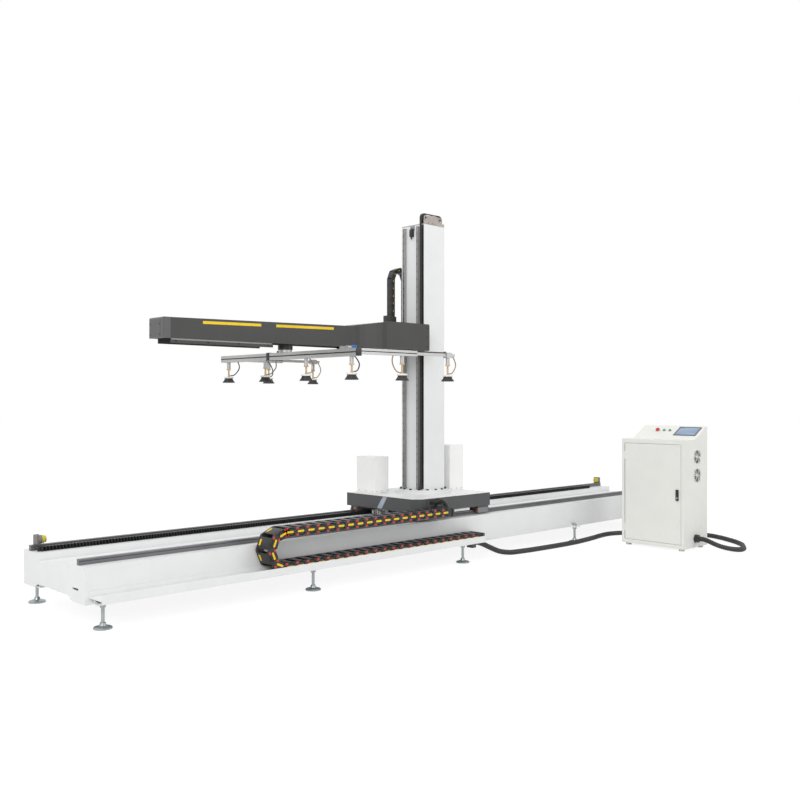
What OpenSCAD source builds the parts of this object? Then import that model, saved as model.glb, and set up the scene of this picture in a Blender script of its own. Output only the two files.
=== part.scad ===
// Track-mounted column robot with a cantilever arm, a vacuum gripper and a control cabinet.
// Site axes: X along the bed from its left end, Y to the rear from the bed's centre line, Z up.

/* [Bed] */
// Length of the bed
bed_l = 7220; // [7000:10:8000]
// Width across both shoulders
bed_w = 1010; // [980:2:1060]
// Height of the shoulder tops above the floor
bed_top = 410; // [390:1:430]
// Height of a box shoulder
shoulder_h = 250; // [225:1:260]
// Width of a box shoulder
shoulder_w = 250; // [235:1:270]
// Wall of the bed's tubes and floor plate
bed_wall = 8; // [5:0.5:10]
// Thickness of an end plate
end_plate_t = 12; // [8:1:20]
// Depth of the channel between the shoulders
channel_depth = 55; // [45:1:90]
// Rise of the underside between the shoulders
belly_rise = 30; // [10:1:60]

/* [Feet] */
// Distance of the first and last foot from the bed's ends
foot_inset = 110; // [90:1:160]
// Number of feet on each side
foot_count = 5; // [4:1:6]
// Distance of a foot's rod from the bed's side
foot_out = 32; // [26:1:45]
// Diameter of a foot pad
foot_pad_d = 124; // [90:1:150]
// Diameter of a foot rod
foot_rod_d = 24; // [16:1:30]
// Thickness of a foot bracket's shelf
bracket_t = 14; // [10:1:20]

/* [Travel rails] */
// Width of a travel rail
rail_w = 34; // [28:1:40]
// Height of a travel rail
rail_h = 41; // [36:1:46]
// Distance of each travel rail from the centre line
rail_y = 400; // [390:1:410]
// Tooth module of the rack and pinion
tooth_module = 8; // [7:0.5:9]
// Number of pinion teeth
pinion_teeth = 18; // [17:1:20]
// Height of the rack
rack_h = 34; // [28:1:38]
// Gap left between tooth flanks
tooth_gap = 0.5; // [0.3:0.05:0.8]

/* [Carriage] */
// Length of the carriage along the bed
carriage_l = 1030; // [1000:2:1060]
// Distance of the carriage's middle from the column's axis, towards the left end
carriage_off = 45; // [20:1:60]
// Width of the carriage across the bed
carriage_w = 950; // [930:2:980]
// Place of the column's axis along the bed
column_x = 3630; // [3500:10:3760]
// Height of the carriage's top above the floor
carriage_top = 612; // [600:1:630]
// Height of the carriage's skirt
skirt_h = 122; // [100:1:124]
// Wall of the carriage
carriage_wall = 12; // [8:1:16]
// Radius of the slewing ring
ring_r = 268; // [240:1:280]
// Height of the slewing ring
ring_h = 20; // [16:1:26]
// Height of the column's flange
flange_h = 15; // [12:1:20]

/* [Column] */
// Size of the column along the bed
column_dx = 280; // [260:1:300]
// Size of the column across the bed
column_dy = 300; // [290:1:320]
// Height of the column's top above the floor
column_top = 3165; // [3150:5:3300]
// Wall of the column
column_wall = 10; // [6:1:12]
// Distance of each lift rail from the column's centre line
lift_rail_y = 92; // [90:1:94]
// Width of a lift rail
lift_rail_w = 28; // [22:1:28]
// Height of a lift rail
lift_rail_h = 34; // [30:1:38]
// Width of the lift belt
belt_w = 24; // [18:1:24]
// Thickness of the lift belt
belt_t = 5; // [3:0.5:6]
// Radius of a belt pulley
pulley_r = 38; // [32:1:44]

/* [Lift and arm] */
// Height of the head's underside above the floor at rest
head_bottom = 1955; // [1945:1:1980]
// Height of the head
head_h = 245; // [235:1:260]
// Length of the head along the arm
head_l = 490; // [460:2:520]
// Width of the head
head_w = 600; // [560:2:620]
// Thickness of the lift plate
lift_plate_t = 25; // [18:1:30]
// Reach of the arm's tip from the column's axis
arm_reach = 2855; // [2800:5:2950]
// Width of the arm cover
arm_w = 200; // [190:1:220]
// Height of the arm cover at its tip
arm_tip_h = 157; // [150:1:170]
// Height of the arm cover at its root
arm_root_h = 189; // [180:1:200]
// Height of the arm's underside above the head's underside
arm_rise = 10; // [4:1:16]
// Length of the lips under the arm cover
lip_l = 935; // [900:5:1000]
// Depth of the lips below the arm cover
lip_h = 35; // [20:1:36]
// Length of the flare between arm and head
flare_l = 290; // [240:5:320]
// Wall of the sheet covers
sheet_t = 3; // [2:0.5:5]

/* [Gripper] */
// Distance of the gripper's axis from the column's axis at rest
gripper_reach = 1645; // [1630:5:1680]
// Length of the gripper's spine
spine_l = 1880; // [1800:5:1900]
// Width and height of the spine's profile
spine_s = 60; // [50:1:64]
// Length of a side bar
side_bar_l = 1060; // [1050:5:1070]
// Length of a side bar's thick part
thick_bar_l = 605; // [560:5:640]
// Width and height of a side bar's thin part
thin_bar_s = 24; // [18:1:28]
// Width and height of a side bar's profile
side_bar_s = 45; // [40:1:50]
// Spacing of the cups along the spine
cup_pitch = 572; // [550:2:580]
// Distance of the inner cups of the side bars from the spine
inner_cup_out = 484; // [440:2:520]
// Distance of the outer cups of the side bars from the spine
outer_cup_out = 1018; // [990:2:1030]
// Distance of the spine's top below the arm's underside
spine_drop = 65; // [62:1:75]
// Diameter of a cup's lip
cup_d = 110; // [90:1:120]
// Height of a cup's lip above the floor at rest
cup_bottom = 1657; // [1650:1:1680]
// Diameter of a cup's stem
stem_d = 16; // [12:1:20]
// Running clearance of a stem or shaft, per side
run_gap = 0.05; // [0.02:0.01:0.1]

/* [Energy chains] */
// Pitch of the travel chain's links
chain_pitch = 100; // [96:1:104]
// Height of the travel chain's links
chain_h = 64; // [58:1:68]
// Width of the travel chain
chain_w = 170; // [150:2:180]
// Links in the travel chain's lower run at rest
lower_links = 22; // [21:1:23]
// Links in the travel chain's upper run at rest
upper_links = 18; // [17:1:19]
// Pitch of the lift chain's links
lift_chain_pitch = 72; // [70:1:74]
// Height of the lift chain's links
lift_chain_h = 42; // [36:1:46]
// Width of the lift chain
lift_chain_w = 70; // [60:1:76]

/* [Cabinet] */
// Distance of the cabinet's front from the bed's left end
cabinet_x0 = 5600; // [5500:10:5750]
// Distance of the cabinet's near side from the bed's centre line
cabinet_out = 962; // [930:2:1100]
// Width of the cabinet
cabinet_w = 702; // [680:2:760]
// Depth of the cabinet
cabinet_d = 470; // [440:2:520]
// Height of the cabinet's back
cabinet_h = 1232; // [1200:2:1260]
// Height of the console's front edge
console_front_h = 1100; // [1090:1:1120]
// Wall of the cabinet's sheet
cabinet_t = 4; // [2:0.5:5]
// Height of the cabinet's feet
cabinet_foot_h = 24; // [15:1:40]
// Radius of a cabinet fan opening
fan_r = 62; // [50:1:66]

/* [Conduit] */
// Diameter of the conduit
conduit_d = 50; // [40:1:60]

/* [Hidden] */
$fn = 48;
tiny = 0.4;
link_gap = 0.2;

// Derived sizes of the bed
bed_bottom = bed_top - shoulder_h;
half_w = bed_w / 2;
inner_y = half_w - shoulder_w;
channel_floor = bed_top - channel_depth;
foot_pitch = (bed_l - 2 * foot_inset) / (foot_count - 1);
foot_y = half_w + foot_out;
gusset_h = 28;
rail_top = bed_top + rail_h;

// Derived sizes of the rack and pinion
pitch_r = tooth_module * pinion_teeth / 2;
tooth_pitch = PI * tooth_module;
pressure = 20;
rack_back_y = rail_y - rail_w / 2 - 48;
rack_root_y = rack_back_y - 16;
rack_pitch_y = rack_root_y - 1.25 * tooth_module;
pinion_y = rack_pitch_y - pitch_r;
pinion_x = column_x - carriage_off - carriage_l / 2 + 215;
pinion_z = bed_top + 4;
pinion_h = rack_h - 6;
shaft_r = 15;

// Derived sizes of the carriage
carriage_x0 = column_x - carriage_off - carriage_l / 2;
carriage_x1 = column_x - carriage_off + carriage_l / 2;
skirt_z = carriage_top - skirt_h;
block_l = 150;
block_w = 100;
block_z = bed_top + 12;
block_top = rail_top + 22;
cover_gap = 1;

// Derived sizes of the column
ring_top = carriage_top + ring_h;
flange_z = ring_top + tiny;
column_z = flange_z + flange_h;
face_x = column_x - column_dx / 2;
belt_y = -column_dy / 2 + column_wall + belt_w / 2 + 2;
belt_x = face_x - 16;
pulley_z = column_top + 62;
front_pulley_x = belt_x + pulley_r;
rear_pulley_x = column_x + column_dx / 2 - column_wall - 14 - pulley_r;
rear_strand_x = rear_pulley_x + pulley_r;
belt_foot_z = column_z + 10;
belt_foot_h = 40;
shaft_pin_r = 10;

// Derived sizes of the lift and arm
head_top = head_bottom + head_h;
plate_x1 = face_x - lift_rail_h - 22;
plate_x0 = plate_x1 - lift_plate_t;
head_x1 = plate_x0;
head_x0 = head_x1 - head_l;
arm_bottom = head_bottom + arm_rise;
arm_x0 = column_x - arm_reach;
arm_cap_l = 80;
flare_x0 = head_x0 - flare_l;
beam_h = 80;
beam_w = 120;
beam_z = arm_bottom + 62;
trolley_rail_h = 16;
trolley_rail_w = 20;
trolley_rail_y = 42;
trolley_rail_z = beam_z - trolley_rail_h;

// Derived sizes of the gripper
gripper_x = column_x - gripper_reach;
spine_top = arm_bottom - spine_drop;
spine_z = spine_top - spine_s;
side_bar_y = spine_l / 2 - side_bar_s / 2;
side_bar_top = spine_top;
side_bar_x0 = gripper_x + spine_s / 2;
bush_r = 17;
bush_h = 70;
cup_h = 46;
cap_plate_h = 8;
stem_z = cup_bottom + cup_h + cap_plate_h;
stem_room = 32;
cup_lift_gap = 0.4;
cup_places = [
    [gripper_x, 1.5 * cup_pitch], [gripper_x, 0.5 * cup_pitch],
    [gripper_x, -0.5 * cup_pitch], [gripper_x, -1.5 * cup_pitch],
    [gripper_x + inner_cup_out, -side_bar_y], [gripper_x + outer_cup_out, -side_bar_y],
    [gripper_x + inner_cup_out, side_bar_y], [gripper_x + outer_cup_out, side_bar_y]
];

// Derived sizes of the energy chains
bend_angle = 45;
chain_r = chain_pitch / (2 * sin(bend_angle / 2));
tray_top = 212;
tray_lip = 36;
conduit_z = 168;
conduit_y = -half_w - 40;
chain_y1 = -half_w - 12;
chain_y0 = chain_y1 - chain_w;
chain_z = tray_top + tiny + chain_h / 2;
chain_top_z = chain_z + 2 * chain_r;
chain_bend_x = column_x - 2140;
chain_end_x = chain_bend_x + lower_links * chain_pitch;
chain_top_x = chain_bend_x + upper_links * chain_pitch;
lift_chain_r = lift_chain_pitch / (2 * sin(bend_angle / 2));
lift_chain_y0 = column_dy / 2 + 6;
lift_chain_outer_x = plate_x0 - 4 - lift_chain_h / 2;
lift_chain_inner_x = lift_chain_outer_x + 2 * lift_chain_r;
outer_links = 6;
lift_bend_z = head_top + 12 + lift_chain_h / 2 + tiny + outer_links * lift_chain_pitch;
inner_links = 8;

// Derived sizes of the cabinet
cabinet_x1 = cabinet_x0 + cabinet_d;
cabinet_y1 = -cabinet_out;
cabinet_y0 = cabinet_y1 - cabinet_w;
ledge_l = 214;
console_l = cabinet_d - ledge_l - 14;
console_slope = atan((cabinet_h - console_front_h) / console_l);
door_gap = 3;
door_t = 18;
door_y0 = cabinet_y0 + 30;
door_y1 = cabinet_y1 - 30;
door_z0 = cabinet_foot_h + 40;
door_z1 = console_front_h - 42;
latch_y = cabinet_y0 + 70;
latch_z = 556;
hinge_r = 6;
fan_x = cabinet_x0 + 266;
upper_fan_z = 928;
lower_fan_z = 742;
gland_x = cabinet_x0 + 232;
gland_z = 112;
gland_l = 36;

// The whole part is shifted so that its origin is at the middle of its footprint
rear_reach = side_bar_y + cup_d / 2;
shift = [-bed_l / 2, -(cabinet_y0 - gland_l + rear_reach) / 2, 0];
module site() { translate(shift) children(); }

// Extrusions of a drawn outline across Y, along X and up Z
module across_y(y0, y1) { translate([0, y1, 0]) rotate([90, 0, 0]) linear_extrude(y1 - y0) children(); }
module along_x(x0, x1) { translate([x0, 0, 0]) rotate([90, 0, 90]) linear_extrude(x1 - x0) children(); }
module up_z(z0, z1) { translate([0, 0, z0]) linear_extrude(z1 - z0) children(); }
module box(low, high) { translate(low) cube(high - low); }
module rect(low, high) { translate(low) square(high - low); }
module rod_x(x0, x1, r) { translate([x0, 0, 0]) rotate([0, 90, 0]) cylinder(h = x1 - x0, r = r); }
module rod_y(y0, y1, r) { translate([0, y1, 0]) rotate([90, 0, 0]) cylinder(h = y1 - y0, r = r); }

// Outline of the bed seen from its end: two shoulders with a lower, raised belly between them
module bed_outline() {
    polygon([
        [-half_w, bed_bottom], [-inner_y - 60, bed_bottom], [-inner_y, bed_bottom + belly_rise],
        [inner_y, bed_bottom + belly_rise], [inner_y + 60, bed_bottom], [half_w, bed_bottom],
        [half_w, bed_top], [inner_y, bed_top], [inner_y, channel_floor],
        [-inner_y, channel_floor], [-inner_y, bed_top], [-half_w, bed_top]
    ]);
}
module shoulder_tube() {
    difference() {
        rect([inner_y, bed_bottom], [half_w, bed_top]);
        rect([inner_y + bed_wall, bed_bottom + bed_wall], [half_w - bed_wall, bed_top - bed_wall]);
    }
}
module foot_bracket() {
    difference() {
        union() {
            box([-60, 0, 0], [60, foot_out + 34, bracket_t]);
            for (side = [-1, 1]) translate([side * 46 - 5, 0, bracket_t])
                along_x(0, 10) polygon([[0, 0], [foot_out + 20, 0], [0, gusset_h]]);
        }
        translate([0, foot_out, -1]) cylinder(h = bracket_t + 2, r = foot_rod_d / 2 + tiny);
    }
}
module bed_frame() color("white") site() {
    difference() {
        union() {
            along_x(end_plate_t, bed_l - end_plate_t) {
                shoulder_tube();
                mirror([1, 0]) shoulder_tube();
                rect([-inner_y, channel_floor - bed_wall], [inner_y, channel_floor]);
            }
            for (x = [0, bed_l - end_plate_t]) along_x(x, x + end_plate_t) bed_outline();
        }
        box([-1, -half_w + 95, bed_bottom + 82], [end_plate_t + 1, -half_w + 185, bed_bottom + 96]);
    }
    for (i = [0 : foot_count - 1]) {
        translate([foot_inset + i * foot_pitch, half_w, bed_bottom]) foot_bracket();
        translate([foot_inset + i * foot_pitch, -half_w, bed_bottom]) mirror([0, 1, 0]) foot_bracket();
    }
}

// One foot: flat pad with a domed neck, threaded rod and two nuts that clamp the shelf
module levelling_foot() {
    rotate_extrude() polygon([
        [0, 0], [foot_pad_d / 2, 0], [foot_pad_d / 2, 8], [foot_pad_d / 2 - 6, 14],
        [foot_rod_d, 22], [foot_rod_d * 0.8, 40], [foot_rod_d / 2, 40], [0, 40]
    ]);
    cylinder(h = bed_bottom + bracket_t + 28, r = foot_rod_d / 2);
    for (z = [bed_bottom - 20, bed_bottom + bracket_t]) translate([0, 0, z])
        cylinder(h = 20, r = foot_rod_d * 0.9, $fn = 6);
}
module levelling_feet() color("silver") site() {
    for (i = [0 : foot_count - 1]) for (side = [-1, 1])
        translate([foot_inset + i * foot_pitch, side * foot_y, 0]) levelling_foot();
}

// Linear rail with a waist on both sides
module rail_outline(w, h) {
    polygon([
        [-w / 2, 0], [w / 2, 0], [w / 2, h * 0.42], [w * 0.36, h * 0.56], [w / 2, h * 0.72],
        [w / 2, h - 2], [w / 2 - 2, h], [2 - w / 2, h], [-w / 2, h - 2],
        [-w / 2, h * 0.72], [-w * 0.36, h * 0.56], [-w / 2, h * 0.42]
    ]);
}
module travel_rails() color("dimgray") site() {
    for (side = [-1, 1]) translate([0, side * rail_y, bed_top])
        along_x(2, bed_l - 2) rail_outline(rail_w, rail_h);
}

// Rack with straight flanks, its teeth towards the channel
rack_x0 = 30;
rack_x1 = bed_l - 330;
function rack_half(depth) = tooth_pitch / 4 - depth * tan(pressure) - tooth_gap / 2;
module travel_rack() color("black") site() up_z(bed_top, bed_top + rack_h) {
    rect([rack_x0, rack_root_y], [rack_x1, rack_back_y]);
    first = ceil((rack_x0 - pinion_x) / tooth_pitch);
    last = floor((rack_x1 - pinion_x) / tooth_pitch) - 2;
    for (i = [first : last]) translate([pinion_x + (i + 0.5) * tooth_pitch, rack_pitch_y])
        polygon([
            [-rack_half(-1.25 * tooth_module), 1.25 * tooth_module + 1],
            [-rack_half(tooth_module), -tooth_module],
            [rack_half(tooth_module), -tooth_module],
            [rack_half(-1.25 * tooth_module), 1.25 * tooth_module + 1]
        ]);
}

// Bumpers that stop the carriage on the rear rail
bumper_x = 60;
bumper_z = rail_top + 35;
module bumper_bracket() {
    box([bumper_x - 20, rail_y + rail_w / 2 + 6, bed_top],
        [bumper_x + 18, rail_y + rail_w / 2 + 18, bumper_z + 34]);
    box([bumper_x - 20, rail_y - 34, bumper_z - 34], [bumper_x - 8, rail_y + rail_w / 2 + 6, bumper_z + 34]);
    translate([0, rail_y - 4, bumper_z]) rod_x(bumper_x - 8, bumper_x + 20, 32);
}
module bumper_rubber() {
    translate([0, rail_y - 4, bumper_z]) {
        rod_x(bumper_x + 20, bumper_x + 38, 30);
        rod_x(bumper_x + 38, bumper_x + 54, 24);
    }
}
module both_ends() {
    children();
    translate([bed_l, 0, 0]) mirror([1, 0, 0]) children();
}
module bumper_brackets() color("gray") site() both_ends() bumper_bracket();
module bumper_rubbers() color("gold") site() both_ends() bumper_rubber();

// Folded tray that carries the lower run of the travel chain
tray_x0 = 30;
tray_x1 = chain_end_x + 60;
module chain_tray() color("white") site() along_x(tray_x0, tray_x1) {
    rect([chain_y0 - 8, tray_top - 5], [-half_w, tray_top]);
    rect([chain_y0 - 8, tray_top - 22], [chain_y0 - 3, tray_top + tray_lip]);
    rect([-half_w - 5, tray_top - 5], [-half_w, tray_top + tray_lip]);
}

// One side plate of an energy chain link: its first end on the outer half, its second on the inner
module link_side(pitch, h, t) {
    across_y(0, t / 2 - link_gap) {
        rect([0, -h / 2], [pitch / 2 + h * 0.2, h / 2]);
        circle(r = h / 2);
    }
    across_y(t / 2 + link_gap, t) {
        rect([pitch / 2 - h * 0.2, -h / 2], [pitch, h / 2]);
        translate([pitch, 0]) circle(r = h / 2);
    }
    box([pitch / 2 - h * 0.2, 0, -h / 2], [pitch / 2 + h * 0.2, t, h / 2]);
}
// One link: two side plates and two cross bars, with a pin through its first end where it has one
module chain_link(pitch, h, w, pinned) {
    t = w * 0.12;
    link_side(pitch, h, t);
    translate([0, w, 0]) mirror([0, 1, 0]) link_side(pitch, h, t);
    for (z = [-h / 2, h / 2 - h * 0.14]) box([pitch * 0.28, 0, z], [pitch * 0.72, w, z + h * 0.14]);
    if (pinned) for (y = [0, w - t]) rod_y(y, y + t, h * 0.2);
}
module chain_run(count, pitch, h, w) {
    for (i = [0 : count - 1]) translate([i * pitch, 0, 0]) chain_link(pitch, h, w, i > 0);
}
// Links of a bend about its centre, each turned by the bend angle from the last
module chain_arc(count, first_angle, r, pitch, h, w) {
    for (i = [0 : count - 1]) {
        a = first_angle + i * bend_angle;
        translate([r * cos(a), 0, r * sin(a)]) rotate([0, -(a + 90 + bend_angle / 2), 0])
            chain_link(pitch, h, w, i > 0);
    }
}
module travel_chain_at(x, z) { color("black") site() translate([x, chain_y0, z]) children(); }
module travel_links(count) { chain_run(count, chain_pitch, chain_h, chain_w); }
module travel_arc(first_angle) { chain_arc(2, first_angle, chain_r, chain_pitch, chain_h, chain_w); }
module travel_chain_lower() travel_chain_at(chain_bend_x, chain_z) travel_links(lower_links);
module travel_chain_upper() travel_chain_at(chain_top_x, chain_top_z)
    mirror([1, 0, 0]) travel_links(upper_links);
module travel_chain_bend_lower() travel_chain_at(chain_bend_x, chain_z + chain_r) travel_arc(180);
module travel_chain_bend_upper() travel_chain_at(chain_bend_x, chain_z + chain_r) travel_arc(90);

// Clamp that holds the chain's fixed end on the tray
module chain_anchor() color("dimgray") site() {
    box([chain_end_x - 4, chain_y0 + 24, tray_top], [chain_end_x + 56, chain_y1 - 24, tray_top + 9]);
    box([chain_end_x + chain_h / 2 + 2, chain_y0, tray_top + 8],
        [chain_end_x + 56, chain_y1 - 2, tray_top + chain_h]);
    box([chain_end_x + 6, -half_w - 76, conduit_z - 40], [chain_end_x + 56, -half_w - 5, tray_top - 5]);
}

// Hollow carriage base: top plate, skirt and a pad over each guide block
chamfer = 70;
module carriage_outline(inset) {
    x0 = carriage_x0 + inset;
    x1 = carriage_x1 - inset;
    y0 = -carriage_w / 2 + inset;
    y1 = carriage_w / 2 - inset;
    c = chamfer - inset * 0.6;
    polygon([[x0 + c, y0], [x1 - c / 2, y0], [x1, y0 + c / 2], [x1, y1], [x0, y1], [x0, y0 + c]]);
}
block_x = [carriage_x0 + 30 + block_l / 2, carriage_x1 - 30 - block_l / 2];
module at_blocks() {
    for (x = block_x) for (side = [-1, 1]) translate([x, side * rail_y, 0]) children();
}
module carriage_base() color("dimgray") site() difference() {
    union() {
        difference() {
            up_z(skirt_z, carriage_top) carriage_outline(0);
            up_z(skirt_z - 1, carriage_top - carriage_wall - 8) carriage_outline(carriage_wall);
        }
        intersection() {
            at_blocks()
                box([-block_l / 2, -block_w / 2, block_top], [block_l / 2, block_w / 2, carriage_top - 4]);
            up_z(skirt_z - 40, carriage_top) carriage_outline(0);
        }
    }
    translate([pinion_x, pinion_y, skirt_z]) cylinder(h = skirt_h + 1, r = 52);
}
// Guide blocks that run on the travel rails with a gap all round
module guide_block_outline(w, h, rw, rh, top) {
    g = tiny;
    difference() {
        rect([-w / 2, h], [w / 2, top]);
        offset_rail(rw, rh, g);
    }
}
module offset_rail(rw, rh, g) {
    polygon([
        [-rw / 2 - g, -1], [rw / 2 + g, -1], [rw / 2 + g, rh * 0.42], [rw * 0.36 + g, rh * 0.56],
        [rw / 2 + g, rh * 0.72], [rw / 2 + g, rh + g], [-rw / 2 - g, rh + g],
        [-rw / 2 - g, rh * 0.72], [-rw * 0.36 - g, rh * 0.56], [-rw / 2 - g, rh * 0.42]
    ]);
}
module travel_guide_blocks() color("gray") site() at_blocks() translate([0, 0, bed_top])
    along_x(-block_l / 2, block_l / 2)
        guide_block_outline(block_w, block_z - bed_top, rail_w, rail_h, block_top - bed_top);

// Involute pinion with a shaft that runs in the gearmotor's nose
base_r = pitch_r * cos(pressure);
tip_r = pitch_r + tooth_module;
root_r = pitch_r - 1.25 * tooth_module;
function roll(r) = sqrt(pow(r / base_r, 2) - 1) * 180 / PI;
function flank_turn(a) = a - atan(a * PI / 180);
function half_tooth(a) =
    90 / pinion_teeth - tooth_gap / 2 / pitch_r * 180 / PI + flank_turn(roll(pitch_r)) - flank_turn(a);
function polar(r, a) = [r * cos(a), r * sin(a)];
flank_steps = 5;
function flank_roll(i) = roll(tip_r) * i / flank_steps;
function flank_r(i) = base_r * sqrt(1 + pow(flank_roll(i) * PI / 180, 2));
module pinion_outline() {
    circle(r = root_r);
    for (k = [0 : pinion_teeth - 1]) rotate(90 + k * 360 / pinion_teeth) polygon(concat(
        [polar(root_r - 2, -half_tooth(0))],
        [for (i = [0 : flank_steps]) polar(flank_r(i), -half_tooth(flank_roll(i)))],
        [for (i = [flank_steps : -1 : 0]) polar(flank_r(i), half_tooth(flank_roll(i)))],
        [polar(root_r - 2, half_tooth(0))]
    ));
}
shaft_top = carriage_top + 40;
module travel_pinion() color("silver") site() translate([pinion_x, pinion_y, 0]) {
    up_z(pinion_z, pinion_z + pinion_h) pinion_outline();
    translate([0, 0, pinion_z]) cylinder(h = shaft_top - pinion_z, r = shaft_r);
}
// Gearmotor that stands on the carriage with its nose through the top plate
module travel_gearmotor() color("gray") site() translate([pinion_x, pinion_y, 0]) difference() {
    union() {
        translate([0, 0, carriage_top - 60]) cylinder(h = 60, r = 45);
        box([-60, -26, carriage_top], [60, 64, carriage_top + 110]);
        translate([0, 20, carriage_top + 110]) cylinder(h = 150, r = 42);
    }
    translate([0, 0, carriage_top - 61]) cylinder(h = shaft_top - carriage_top + 62, r = shaft_r + run_gap);
}

// White sheet covers over the drives
module sheet_cover(low, high, t) {
    difference() {
        box(low, high);
        box(low + [t, t, -1], high - [t, t, t]);
    }
}
drive_cover_h = 345;
drive_cover_x0 = carriage_x0 + 118;
drive_cover_y0 = 201;
drive_cover_l = 172;
swing_cover_h = 445;
swing_cover_l = 190;
swing_cover_x0 = column_x + ring_r + 4;
module travel_drive_cover() color("white") site()
    sheet_cover([drive_cover_x0, drive_cover_y0, carriage_top],
        [drive_cover_x0 + drive_cover_l, carriage_w / 2 - 8, carriage_top + drive_cover_h], sheet_t);
module swing_drive_cover() color("white") site()
    sheet_cover([swing_cover_x0, -100, carriage_top],
        [swing_cover_x0 + swing_cover_l, 160, carriage_top + swing_cover_h], sheet_t);

// Slewing ring on the carriage and the bolted flange that turns on it
module ring(r0, r1, h) { rotate_extrude() rect([r0, 0], [r1, h]); }
flange_r = 236;
spigot_r = 150;
module slewing_ring() color("black") site() translate([column_x, 0, carriage_top]) {
    ring(spigot_r + run_gap, ring_r, ring_h);
}
bolt_count = 16;
bolt_circle_r = 216;
module column_flange() color("silver") site() translate([column_x, 0, flange_z]) {
    cylinder(h = flange_h, r = flange_r);
    translate([0, 0, -ring_h]) ring(spigot_r - 14, spigot_r, ring_h + 1);
    for (i = [0 : bolt_count - 1]) rotate((i + 0.5) * 360 / bolt_count)
        translate([bolt_circle_r, 0, flange_h - 1]) cylinder(h = 10, r = 11, $fn = 6);
}

// Bracket that ties the upper run to the carriage's front
module chain_bracket() color("dimgray") site() {
    box([chain_top_x - 90, -carriage_w / 2 - 6, skirt_z + 5],
        [chain_top_x + 90, -carriage_w / 2, carriage_top - 8]);
    box([chain_top_x + chain_h / 2 + 2, chain_y0, chain_top_z - chain_h / 2 - 8],
        [chain_top_x + chain_h / 2 + 14, -carriage_w / 2, chain_top_z + chain_h / 2]);
    box([chain_top_x + 4, chain_y0 + 24, chain_top_z - chain_h / 2 - 8],
        [chain_top_x + chain_h / 2 + 14, -carriage_w / 2 - 6, chain_top_z - chain_h / 2 - tiny]);
}

// Column tube with the shelf that holds the lift chain's fixed end
module column_section(inset) {
    rect([face_x + inset, -column_dy / 2 + inset], [column_x + column_dx / 2 - inset, column_dy / 2 - inset]);
}
shelf_t = 10;
shelf_z = lift_bend_z - inner_links * lift_chain_pitch - lift_chain_h / 2 - tiny - shelf_t;
module column_tube() color("white") site() {
    up_z(column_z, column_top) difference() {
        column_section(0);
        column_section(column_wall);
    }
    box([lift_chain_inner_x - 30, column_dy / 2, shelf_z],
        [lift_chain_inner_x + 30, lift_chain_y0 + lift_chain_w, shelf_z + shelf_t]);
}
lift_rail_z0 = column_z + 8;
lift_rail_z1 = column_top - 20;
module lift_rails() color("gray") site() for (side = [-1, 1])
    translate([face_x, side * lift_rail_y, lift_rail_z0])
        linear_extrude(lift_rail_z1 - lift_rail_z0) rotate(90) rail_outline(lift_rail_w, lift_rail_h);

// Belt loop over the two top pulleys, with both strands led down to the foot
module belt_loop(grow) {
    rect([belt_x - grow, belt_foot_z + belt_foot_h], [rear_strand_x + grow, pulley_z]);
    rect([front_pulley_x, pulley_z - 1], [rear_pulley_x, pulley_z + pulley_r + grow]);
    for (x = [front_pulley_x, rear_pulley_x]) translate([x, pulley_z]) circle(r = pulley_r + grow);
}
module lift_belt() color("black") site() across_y(belt_y - belt_w / 2, belt_y + belt_w / 2) difference() {
    belt_loop(belt_t);
    belt_loop(tiny);
    rect([belt_x, belt_foot_z], [rear_strand_x, pulley_z]);
}
module belt_foot() color("black") site() {
    box([belt_x - belt_t - 3, belt_y - belt_w / 2, belt_foot_z],
        [face_x, belt_y + belt_w / 2, belt_foot_z + belt_foot_h]);
    box([rear_strand_x - 24, belt_y - belt_w / 2, belt_foot_z],
        [column_x + column_dx / 2 - column_wall, belt_y + belt_w / 2, belt_foot_z + belt_foot_h]);
}
// Bracket of two cheeks that carries the pulley pins on the column's top
cheek_t = 8;
cheek_gap = 3;
module cheek_outline() {
    difference() {
        union() {
            rect([face_x, column_top], [column_x + column_dx / 2, column_top + 30]);
            polygon([
                [face_x + 4, column_top], [front_pulley_x - 20, pulley_z], [front_pulley_x, pulley_z + 20],
                [column_x, pulley_z + 34], [rear_pulley_x, pulley_z + 20], [rear_pulley_x + 20, pulley_z],
                [column_x + column_dx / 2 - 4, column_top]
            ]);
        }
        for (x = [front_pulley_x, rear_pulley_x]) translate([x, pulley_z]) circle(r = shaft_pin_r + run_gap);
    }
}
cheek_y0 = belt_y - belt_w / 2 - cheek_gap - cheek_t;
cheek_y1 = belt_y + belt_w / 2 + cheek_gap;
module pulley_bracket() color("silver") site() {
    across_y(cheek_y0, cheek_y0 + cheek_t) cheek_outline();
    across_y(cheek_y1, cheek_y1 + cheek_t) cheek_outline();
    box([face_x, cheek_y0, column_top], [rear_pulley_x + 20, column_dy / 2, column_top + 8]);
}
module pulley_at(x) color("lightgray") site() translate([x, 0, pulley_z]) {
    rod_y(belt_y - belt_w / 2, belt_y + belt_w / 2, pulley_r);
    rod_y(cheek_y0 - 6, cheek_y1 + cheek_t + 6, shaft_pin_r);
}
module front_pulley() pulley_at(front_pulley_x);
module rear_pulley() pulley_at(rear_pulley_x);

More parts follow.
